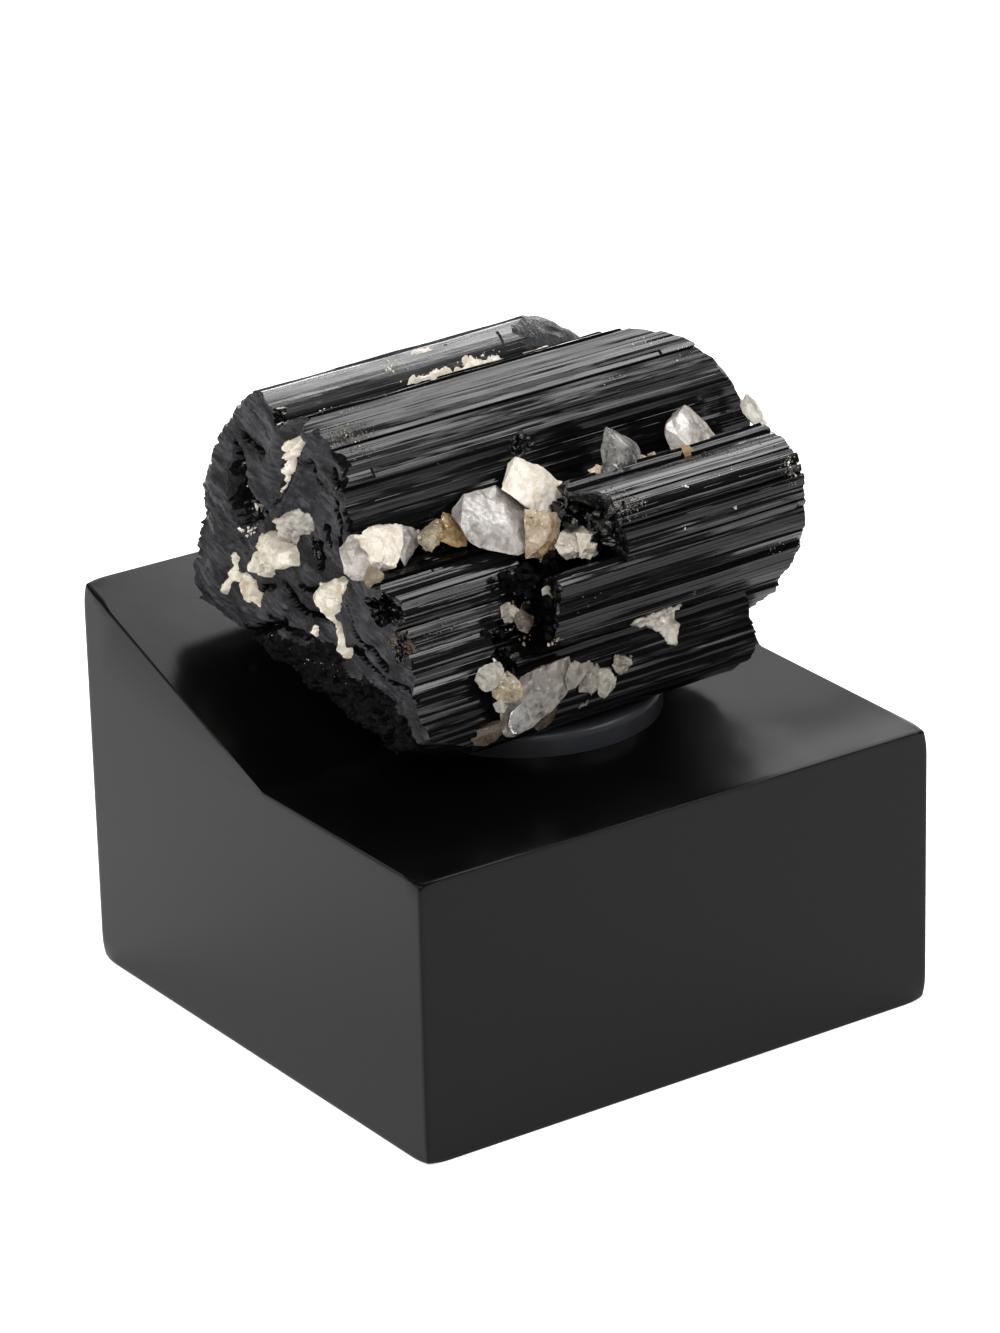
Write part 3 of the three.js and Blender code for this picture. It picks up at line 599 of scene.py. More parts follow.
def left_relief(u, v):
    """The hackly relief of the left end: shards lying along the fibres, folds, and crumbs at the bottom."""
    fibres = Vector(((0.94 * u + 0.34 * v) / 2.8, -0.34 * u + 0.94 * v, 3))
    depth = 0.6 * unevenness(u, v, 31) + 0.4 * chips(fibres, 4.2) + 0.18 * chips(fibres, 1.6)
    depth += 1.3 * wave(fibres.x / 2.6, fibres.y / 3.4, 14)
    depth += 0.24 * wave(fibres.x / 1.6, fibres.y / 0.9, 4)
    depth += 0.08 * wave(u / 0.5, v / 0.5, 8)
    rough = 0.9 * chips(Vector((u, v, 5)), 2.6) + 0.3 * chips(Vector((u, v, 6)), 1.0)
    return depth + crumbly(u, v) * rough


def crack_depth(us, vs):
    cracks = np.zeros(len(us))
    for width, depth, points in CRACKS:
        cracks = np.maximum(cracks, fold_along(us, vs, points, width, depth))
    return cracks


def left_face(us, vs):
    """S of the broken left end. Its vug has flat chips on its floor, and its bottom edge is undercut."""
    at = wander(us, vs, 1.3, 0.45, 1)
    vug = depth_inside(*at, VUG)
    floor = each(lambda u, v: chips(Vector((u, v, 12)), 1.1))(us, vs)
    sunk = VUG_DEPTH * (1 - np.exp(-vug / 0.8)) + np.where(vug > 0.3, 0.8 * floor, 0)
    under = [np.maximum(0, side[0] * (us - UNDERCUT[0]) + side[1] * (vs - UNDERCUT[1]))
             for side in (UNDERCUT_FRONT, UNDERCUT_BACK)]
    return (LEFT_END + each(left_relief)(us, vs) + crack_depth(*at) + sunk + fold_along(*at, VALLEY, 1.5, 2.0)
            - fold_along(*at, RIDGE, 1.5, 1.6) + UNDERCUT_SLOPE * (under[0] + under[1]))


def bars():
    """The prisms one by one, each cut to its right end and to its own left end."""
    # The low prisms take the darker copy of the ribs, which is painted shade, and the top back prism the
    # lighter copy, which is painted light.
    own_finish = {"lower_front": ribs_painted_shade, "underside": ribs_painted_shade, "top_back": dusty_ribs_painted_light}
    for order, (name, prism) in enumerate(PRISMS.items()):
        corners = prism["corners"]
        us, vs = [[corner[k] for corner in corners] for k in (0, 1)]
        low, high = (min(us) - 2, min(vs) - 2), (max(us) + 2, max(vs) + 2)
        middle = (sum(us) / len(us), sum(vs) / len(vs))
        reach = max(prism["right"](u, v) for u, v in corners + [middle])
        bar = loose(prism_bar(corners, reach + 6, order + 1), own_finish.get(name, ribbed))
        right = each(lambda u, v: prism["right"](u, v) + hackly(u, v))
        join(bar, broken_face(low, high, 0.7, right, 90, slate), "DIFFERENCE")
        if "left" in prism:
            worn = pitted if name.startswith("right") else slate
            join(bar, broken_face(low, high, 0.45, each(prism["left"]), -90, worn), "DIFFERENCE")
        yield bar


bundle = unite(bars())
end = broken_face((-34, 50), (42, 113), 0.4, left_face, -90, slate)
end.data.materials.append(pitted.material)
end.data.materials.append(crumbs_painted_shade.material)
us, vs = [np.array([face.center[k] for face in end.data.polygons]) for k in (1, 2)]
in_vug = depth_inside(us, vs, VUG) > 0.25
# Faces in the cracks and along the crumbly bottom edge take the darker crumbs finish: painted shade.
in_crumbs_and_shade = (crack_depth(*wander(us, vs, 1.3, 0.45, 1)) > 0.5) | (each(crumbly)(us, vs) > 0.5)
for face, vug, crumb_and_shade in zip(end.data.polygons, in_vug, in_crumbs_and_shade):
    face.material_index = 1 if vug else 2 * int(crumb_and_shade)
join(bundle, end, "DIFFERENCE")

# Pits eaten into the bundle: the middle as (S, U, V), the size along each, and a seed
PITS = [
    ((-18.2, -24.6, 71.0), (5.6, 7, 8.6), 51),
    ((-9.5, -22, 80.6), (7, 7, 7), 52),
    ((-4, -20.6, 83.8), (9, 5, 3.6), 53),
    ((-1.5, -8.6, 97.6), (5, 4, 3.8), 54),
    ((-36.6, 9.6, 106), (5, 3.2, 3), 55),
    ((-35.2, -16.6, 80.8), (5, 8, 5), 56),
    ((-35.4, -20.6, 75.6), (3, 3.6, 5), 57),
    ((-36.2, 1.5, 86.0), (3, 1.6, 4), 58),
]
for middle, size, seed in PITS:
    bm = bmesh.new()
    bmesh.ops.create_icosphere(bm, subdivisions=4, radius=0.5)
    for vert in bm.verts:
        bulge = noise.fractal(vert.co * 3.4 + Vector((seed, 0, 0)), 0.8, 2.1, 5)
        out = Vector([part * length for part, length in zip(vert.co, size)])
        vert.co = Vector(middle) + out * (1 + 0.5 * bulge)
    join(bundle, loose(bm, pitted), "DIFFERENCE")


def close_hull(bm, corners):
    """Closes corners in a hull, and drops those inside it."""
    verts = [bm.verts.new(corner) for corner in corners]
    hull = bmesh.ops.convex_hull(bm, input=verts)
    spare = set(verts_in(hull["geom_interior"] + hull["geom_unused"]))
    bmesh.ops.delete(bm, geom=list(spare), context="VERTS")


def add_lump(bm, middle, size, chance, corners=9):
    """Adds a lump with flat broken faces: a hull round corners scattered over an egg."""
    places = []
    for _ in range(corners):
        out = Vector([chance.gauss(0, 1) for _ in range(3)]).normalized() * chance.uniform(0.8, 1.15)
        places.append([place + part * length / 2 for place, part, length in zip(middle, out, size)])
    close_hull(bm, places)


def loose_lump(middle, size, chance, finish, corners=9):
    bm = bmesh.new()
    add_lump(bm, middle, size, chance, corners)
    return loose(bm, finish)


def rubble(middle, reach, size, number, finish):
    for _ in range(number):
        place = [at + chance.uniform(-1, 1) * part for at, part in zip(middle, reach)]
        yield loose_lump(place, [size * chance.uniform(0.45, 1.2) for _ in range(3)], chance, finish, 22)


def druse(number):
    """Small black crystals on the floor of the vug."""
    for _ in range(number):
        u, v = chance.uniform(9, 24), chance.uniform(82, 105)
        if depth_inside(np.array([u]), np.array([v]), VUG)[0] > 0.4:
            place = (LEFT_END + VUG_DEPTH + chance.uniform(-2.8, 0.6), u, v)
            yield loose_lump(place, [chance.uniform(0.7, 2.2) for _ in range(3)], chance, pitted)


# Broken black rubble in the bundle's clefts: heaps as (middle, reach, lump size, number, finish)
RUBBLE = [
    ((3.0, -16.4, 88.6), (3.2, 2.2, 2.6), 2.4, 34, pitted),
    ((3.2, -24.3, 89.0), (1.3, 2.6, 2.4), 2.2, 36, pitted),
    ((4.0, -22.4, 85.4), (1.6, 3.4, 2.8), 2.4, 44, pitted),
    ((5.8, -20.2, 82.2), (1.6, 2.2, 2.0), 2.0, 22, pitted),
    ((6.6, -17.4, 85.2), (2.4, 1.6, 3.2), 2.2, 24, pitted),
    # The heaps down in the pits take the darker crumbs finish: painted shade.
    ((-7.4, -19.8, 80.4), (4.4, 1.6, 3.0), 2.0, 16, crumbs_painted_shade),
    ((-10.6, -21.6, 76.4), (3.4, 1.6, 2.8), 2.0, 14, crumbs_painted_shade),
    ((-17.6, -22.2, 70.4), (3.0, 1.6, 4.2), 2.0, 20, crumbs_painted_shade),
    ((-1.5, -6.6, 97.4), (2.0, 1.0, 1.6), 1.5, 12, pitted),
    ((-12.6, -21.4, 81.0), (2.2, 1.2, 1.4), 1.8, 10, crumbs_painted_shade),
    ((-34.0, -15.0, 79.6), (1.4, 3.4, 1.6), 1.4, 16, crumbs_painted_shade),
    ((-9.4, -26.0, 78.6), (0.9, 1.8, 2.8), 1.5, 24, crumbs_painted_shade),
    ((-9.8, -25.2, 73.6), (1.6, 1.4, 1.2), 1.4, 18, crumbs_painted_shade),
    ((-13.6, -19.6, 80.6), (1.4, 1.4, 2.0), 1.6, 14, crumbs_painted_shade),
]
chance = random.Random(11)
for heap in RUBBLE:
    join(bundle, unite(rubble(*heap)), "UNION")
join(bundle, unite(druse(170)), "UNION")

surface = BVHTree.FromPolygons([vert.co for vert in bundle.data.vertices],
                               [list(face.vertices) for face in bundle.data.polygons])
bundle.name = "schorl_bundle"
bundle.data.transform(LAY)
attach(bundle, "root")
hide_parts("schorl")
smooth_below(bundle.data, 8)

# The feldspar: cream crumbly crusts, grown on the broken left end and in hollows of the sides. Each stands
# a millimetre or two out of the schorl and breaks into small flat chips.
CREAM = (0.86, 0.80, 0.71)
CRUST_CELL = 0.24
CRUST_MARGIN = 0.9
CRUST_BEND = 4.0
FAR_OFF = 200
# Each side of the bundle as its own axis, the two axes across it and the sign of outwards
SIDES = {"left": (0, 1, 2, -1), "front": (1, 0, 2, -1), "top": (2, 0, 1, 1)}


def landing(side, a, b):
    """Where a line that comes in from a side, at (a, b) across it, meets the schorl."""
    axis, first, second, sign = SIDES[side]
    start, inward = Vector(), Vector()
    start[first], start[second], start[axis] = a, b, FAR_OFF * sign
    inward[axis] = -sign
    return surface.ray_cast(start, inward)[0]


def crust(name, node, side, rise, finish, seed, outline):
    """A crust on a side of the bundle, over an outline drawn across that side."""
    axis, first, second, sign = SIDES[side]
    low = [min(corner[k] for corner in outline) - CRUST_MARGIN for k in (0, 1)]
    high = [max(corner[k] for corner in outline) + CRUST_MARGIN for k in (0, 1)]
    bm, across, up = grid_over(low, high, CRUST_CELL)
    inside = depth_inside(*wander(across, up, 1.1, 0.5, seed), outline)
    hits = [landing(side, a, b) for a, b in zip(across, up)]
    levels = np.array([hit[axis] if hit else np.nan for hit in hits])
    usual = np.nanmedian(levels[inside > 0])
    bare = [vert for vert, level in zip(bm.verts, levels)
            if np.isnan(level) or abs(level - usual) > CRUST_BEND]
    for vert, a, b, depth, level in zip(bm.verts, across, up, inside, levels):
        where = Vector((a, b, seed))
        swelling = 0.75 + 0.6 * noise.noise(where / 2.6) + 0.3 * chips(where, 1.5) + 0.1 * chips(where, 0.6)
        height = rise * (1 - math.exp(-depth / 0.45)) * swelling if depth > 0 else -0.6
        vert.co[first], vert.co[second], vert.co[axis] = a, b, level + sign * height
    bmesh.ops.delete(bm, geom=bare, context="VERTS")
    for vert in verts_in(bmesh.ops.extrude_face_region(bm, geom=bm.faces[:])["geom"]):
        vert.co[axis] -= sign * (rise + 2)
    bmesh.ops.recalc_face_normals(bm, faces=bm.faces)
    add_piece(name, bm, LAY, finish, "feldspar", [node], 24)


def stained(name, colour, roughness, base, dark, stain, stain_level=0.56, ior=1.53):
    """A mottled pale mineral: cloudy patches of a darker tone, and a few warm stains."""
    finish = Finish(name, colour, roughness, IOR=ior)
    even = finish.space()
    mottle = finish.ramp(finish.cloud(even, 0.55, 5, 0.6), (0.36, dark), (0.6, base))
    warm = finish.ramp(finish.cloud(even, 0.3, 4, 0.6, 0.5), (stain_level, 0.0), (stain_level + 0.12, 0.85))
    finish.use("Base Color", finish.mix(warm, mottle, stain))
    finish.gloss(finish.cloud(even, 1.6, 3), (0.35, 0.3), (0.7, 0.6))
    finish.relief(finish.cloud(even, 3.2, 4, 0.65), 0.12, 0.7)
    return finish


feldspar = stained("feldspar_cream", CREAM, 0.45, CREAM, (0.66, 0.58, 0.47), (0.56, 0.38, 0.19), 0.62)
end_cream = stained("feldspar_end_cream", (0.7, 0.64, 0.55), 0.45,
                    (0.72, 0.67, 0.57), (0.46, 0.42, 0.34), (0.42, 0.31, 0.18))
grey_crust = stained("feldspar_grey", (0.5, 0.48, 0.42), 0.4,
                     (0.48, 0.45, 0.40), (0.22, 0.20, 0.17), (0.38, 0.29, 0.19))
drab = stained("feldspar_drab", (0.2, 0.18, 0.14), 0.45,
               (0.24, 0.215, 0.18), (0.08, 0.068, 0.052), (0.30, 0.24, 0.18))
pale_drab = stained("feldspar_pale_drab", (0.3, 0.28, 0.24), 0.45,
                    (0.36, 0.34, 0.295), (0.16, 0.145, 0.12), (0.34, 0.28, 0.20))

CRUSTS = [
    ("end_crust_large", "feldspar_end_large", "left", 2.2, end_cream, 61, [(18.3, 79.5), (16.6, 81.7),
     (14.6, 83.4), (14.3, 85), (12.2, 86), (10.6, 86), (10.4, 85), (6.8, 85.2), (5.5, 84.2), (4.4, 82.4),
     (6, 81.9), (8.8, 80.7), (10.9, 79.9), (11.3, 78.7), (13.8, 77.6), (15.9, 77.1), (17.9, 77.6)]),
    ("end_crust_middle", "feldspar_end_middle", "left", 2.0, grey_crust, 62, [(9.7, 87.8), (8.6, 89.4),
     (7.1, 90.8), (5.4, 91.5), (3.7, 91.4), (2.1, 90.8), (1.8, 89), (2.9, 87.8), (5, 87), (6.4, 85.5),
     (8.5, 85.1), (9.9, 85.2), (9.9, 86.4)]),
    ("end_crust_top", "feldspar_end_top", "left", 2.3, feldspar, 63, [(-0.1, 107.2), (2.5, 105.8),
     (4.6, 104.3), (8.3, 101.5), (8.8, 99.4), (8.4, 96.7), (8.8, 95.4), (9.4, 92.9), (7.5, 95.6), (5.5, 98.4),
     (3.4, 101.7), (1.8, 105.0)]),
    ("end_crust_left", "feldspar_end_left", "left", 1.6, end_cream, 64, [(24.2, 78.9), (22.7, 78),
     (23.3, 75.6), (20.1, 76.1), (17.7, 76.1), (17.1, 73.9), (16.2, 71.3), (17.6, 71.5), (19.7, 71.8),
     (22, 73.8), (23.7, 73.7), (24.2, 71.8), (25.7, 71), (26.7, 72), (25.2, 73.3), (25.4, 75), (24.2, 76.6)]),
    ("end_crust_front", "feldspar_end_front", "left", 1.5, end_cream, 65, [(2.1, 78.7), (-0.7, 80.9),
     (-4.8, 82.9), (-6.8, 82.6), (-5.6, 79.3), (-4.5, 77.2), (-3.8, 75.7), (-5, 73.9), (-6.9, 72.3),
     (-9.2, 71.3), (-9.5, 70.7), (-7.5, 70.3), (-5.5, 70.8), (-4.2, 72.4), (-2.7, 74.3), (-1.4, 75),
     (-0.4, 76.5), (1.1, 77.9)]),
    ("side_patch", "feldspar_patch_right", "front", 1.1, grey_crust, 66, [(17.0, 70.7), (16.1, 68.7),
     (16.7, 67.1), (16.0, 66.1), (15.5, 65.3), (15.0, 64.4), (13.8, 64.5), (13.1, 64.9), (12.3, 66.6),
     (10.8, 67.8), (9.7, 68.3), (8.9, 68.2), (7.2, 69.2), (6.8, 70.0), (7.4, 70.6), (9.6, 70.6), (11.5, 70.8),
     (14.2, 71.0)]),
    ("side_patch_grain", "feldspar_patch_right", "front", 2.0, feldspar, 67, [(11.1, 70.0), (12.0, 70.7),
     (13.4, 69.5), (14.6, 68.4), (13.6, 67.9), (12.2, 67.9), (11.3, 68.8)]),
    ("strip_left", "feldspar_strip", "top", 1.9, feldspar, 68, [(-13.6, 5.6), (-10.6, 8.4), (-9.6, 8.8),
     (-8.6, 8.2), (-6.5, 8.9), (-3.4, 7.6), (-2.6, 6.6), (-8, 5.2)]),
    ("strip_right", "feldspar_strip", "top", 1.9, feldspar, 69, [(-3.4, 6.8), (-2.4, 8.2), (-0.6, 8.0),
     (1, 9.2), (3, 8.2), (6.4, 8.4), (7.6, 7.2), (4, 5.8), (0, 5.6)]),
    ("spot_back", "feldspar_spot_back", "top", 0.8, feldspar, 70, [(-7.6, 12.4), (-6, 13.6), (-4.4, 13),
     (-2.9, 13.4), (-3.2, 11.8), (-5.2, 11.6)]),
    ("spot_right", "feldspar_spot_right", "top", 0.7, feldspar, 71, [(13.6, 7.4), (14.8, 8.4), (15.8, 7.8),
     (17.4, 8.6), (18.0, 7.4), (16.6, 6.6), (14.6, 6.6)]),
]
for row in CRUSTS:
    crust(*row)

# The quartz and feldspar crystals in the clefts: grey, clear and amber quartz with flat broken faces, and
# cream feldspar blocks. They are grown in place, one against the other.
SIGHT = Vector((-0.569, -0.730, 0.379))
DRAWN_LIMIT = 3.5
CORNER_KNOCKS = 5
KNOCK_LIMIT = 0.5


def buried(corner):
    """How deep a corner lies in the schorl along the line of sight."""
    hit = surface.ray_cast(corner + 60 * SIGHT, -SIGHT, 120)[0]
    return (hit - corner).dot(SIGHT) if hit else -5.0


def crystal(name, finish, slot, node, seed, corners, relief=0.03, chip=0.0, cell=0.42, rise=0.2,
            growths=2, stand=0.4, smooth=14):
    """A broken crystal through its corners, with flat faces, an uneven ridge across its middle, knocked
    corners and small growths. It is drawn out of the schorl towards the eye until it stands free."""
    chance = random.Random(seed)
    corners = [Vector(corner) for corner in corners]
    depths = sorted(buried(corner) for corner in corners)
    drawn = min(DRAWN_LIMIT, max(0.0, depths[round(0.6 * (len(depths) - 1))] + stand)) * SIGHT
    middle = sum(corners, Vector()) / len(corners) + drawn
    girth = min(max(corner[k] for corner in corners) - min(corner[k] for corner in corners) for k in range(3))
    spread = 0.15 + 0.02 * girth
    corners = [corner + drawn + spread * (corner + drawn - middle).normalized() for corner in corners]
    sideways = SIGHT.cross(Vector((0, 0, 1))).normalized()
    upwards = sideways.cross(SIGHT)
    angle = chance.uniform(0, math.tau)
    across = math.cos(angle) * sideways + math.sin(angle) * upwards
    ridge = [middle + girth * (part * across + high * rise * SIGHT)
             for part, high in ((0.26, 0.8), (-0.2, 1.1))]
    roots = [middle + 0.55 * (corner - middle) - 0.8 * girth * SIGHT for corner in corners]
    bm = bmesh.new()
    close_hull(bm, corners + ridge + roots)
    for _ in range(CORNER_KNOCKS):
        corner = chance.choice(bm.verts[:]).co.copy()
        out = (corner - middle).normalized() + Vector([chance.gauss(0, 0.35) for _ in range(3)])
        out.normalize()
        knock = corner - out * min(KNOCK_LIMIT, girth * chance.uniform(0.03, 0.1))
        bmesh.ops.edgeloop_fill(bm, edges=slice_through(bm, knock, out, clear_outer=True))
    bmesh.ops.remove_doubles(bm, verts=bm.verts, dist=0.03)
    body = loose(bm, finish)
    for _ in range(growths):
        at = chance.choice(corners).lerp(middle + 0.8 * rise * girth * SIGHT, chance.uniform(0.05, 0.6))
        size = [girth * chance.uniform(0.25, 0.5) for _ in range(3)]
        join(body, loose_lump(at, size, chance, finish), "UNION")
    bm = bmesh.new()
    bm.from_mesh(body.data)
    bpy.data.objects.remove(body)
    for _ in range(8):
        bmesh.ops.triangulate(bm, faces=bm.faces[:])
        long_edges = [edge for edge in bm.edges if edge.calc_length() > cell]
        if not long_edges:
            break
        bmesh.ops.subdivide_edges(bm, edges=long_edges, cuts=1)
    bmesh.ops.triangulate(bm, faces=bm.faces[:])
    bm.normal_update()
    moves = []
    for vert in bm.verts:
        where = vert.co + Vector((seed, 0, 0))
        height = relief * (1.4 * noise.noise(where / 2.4) + 0.5 * noise.noise(where / 0.9))
        height -= 0.4 * relief * abs(noise.noise(where / 1.7 + Vector((0, 0, 40))))
        if chip:
            height += chip * (chips(where, 1.7) + 0.4 * chips(where, 0.7))
        moves.append(vert.normal * height)
    for vert, move in zip(bm.verts, moves):
        vert.co += move
    add_piece(name, bm, LAY, finish, slot, [node], smooth)


def clouded(name, colour, roughness, clearness, base, dark, rough=(0.08, 0.3), scale=0.42):
    """A quartz with veils in it: cloudy milk, grey smoke and thin healed cracks."""
    finish = Finish(name, colour, roughness, IOR=1.544, Transmission_Weight=clearness)
    even = finish.space()
    veils = finish.ramp(finish.cloud(even, scale, 6, 0.66, 0.4), (0.38, dark), (0.6, base))
    cracks = finish.ramp(finish.cloud(even, 0.3, 3, 0.5, 1.2), (0.482, 0.0), (0.49, 0.4), (0.498, 0.0))
    finish.use("Base Color", finish.mix(cracks, veils, tuple(0.6 * part for part in dark)))
    finish.gloss(finish.cloud(even, 1.1, 4), (0.35, rough[0]), (0.7, rough[1]))
    finish.relief(finish.cloud(even, 1.9, 4, 0.6), 0.1, 0.6)
    return finish


milky = clouded("quartz_milky", (0.7, 0.66, 0.64), 0.15, 0.3, (0.86, 0.81, 0.74), (0.38, 0.345, 0.31))
grey = clouded("quartz_grey", (0.5, 0.47, 0.45), 0.15, 0.3,
               (0.68, 0.63, 0.585), (0.22, 0.20, 0.18), (0.2, 0.42), 0.24)
honey = clouded("quartz_honey", (0.4, 0.32, 0.2), 0.2, 0.35,
                (0.44, 0.36, 0.24), (0.20, 0.15, 0.09), (0.1, 0.3), 0.5)
clear = clouded("quartz_clear", (0.75, 0.73, 0.7), 0.12, 0.5,
                (0.44, 0.42, 0.39), (0.05, 0.05, 0.048), (0.08, 0.28), 0.5)
lens = clouded("quartz_lens", (0.5, 0.47, 0.43), 0.12, 0.4,
               (0.31, 0.28, 0.24), (0.11, 0.096, 0.08), (0.06, 0.25), 0.4)
tan_quartz = clouded("quartz_tan", (0.6, 0.45, 0.3), 0.2, 0.3,
                     (0.72, 0.60, 0.45), (0.38, 0.27, 0.16), (0.2, 0.45))
smoky = clouded("quartz_smoky", (0.15, 0.11, 0.08), 0.2, 0.3,
                (0.15, 0.115, 0.085), (0.05, 0.036, 0.026), (0.15, 0.4))
amber = clouded("quartz_amber", (0.6, 0.36, 0.12), 0.15, 0.35, (0.66, 0.47, 0.24), (0.24, 0.13, 0.045))

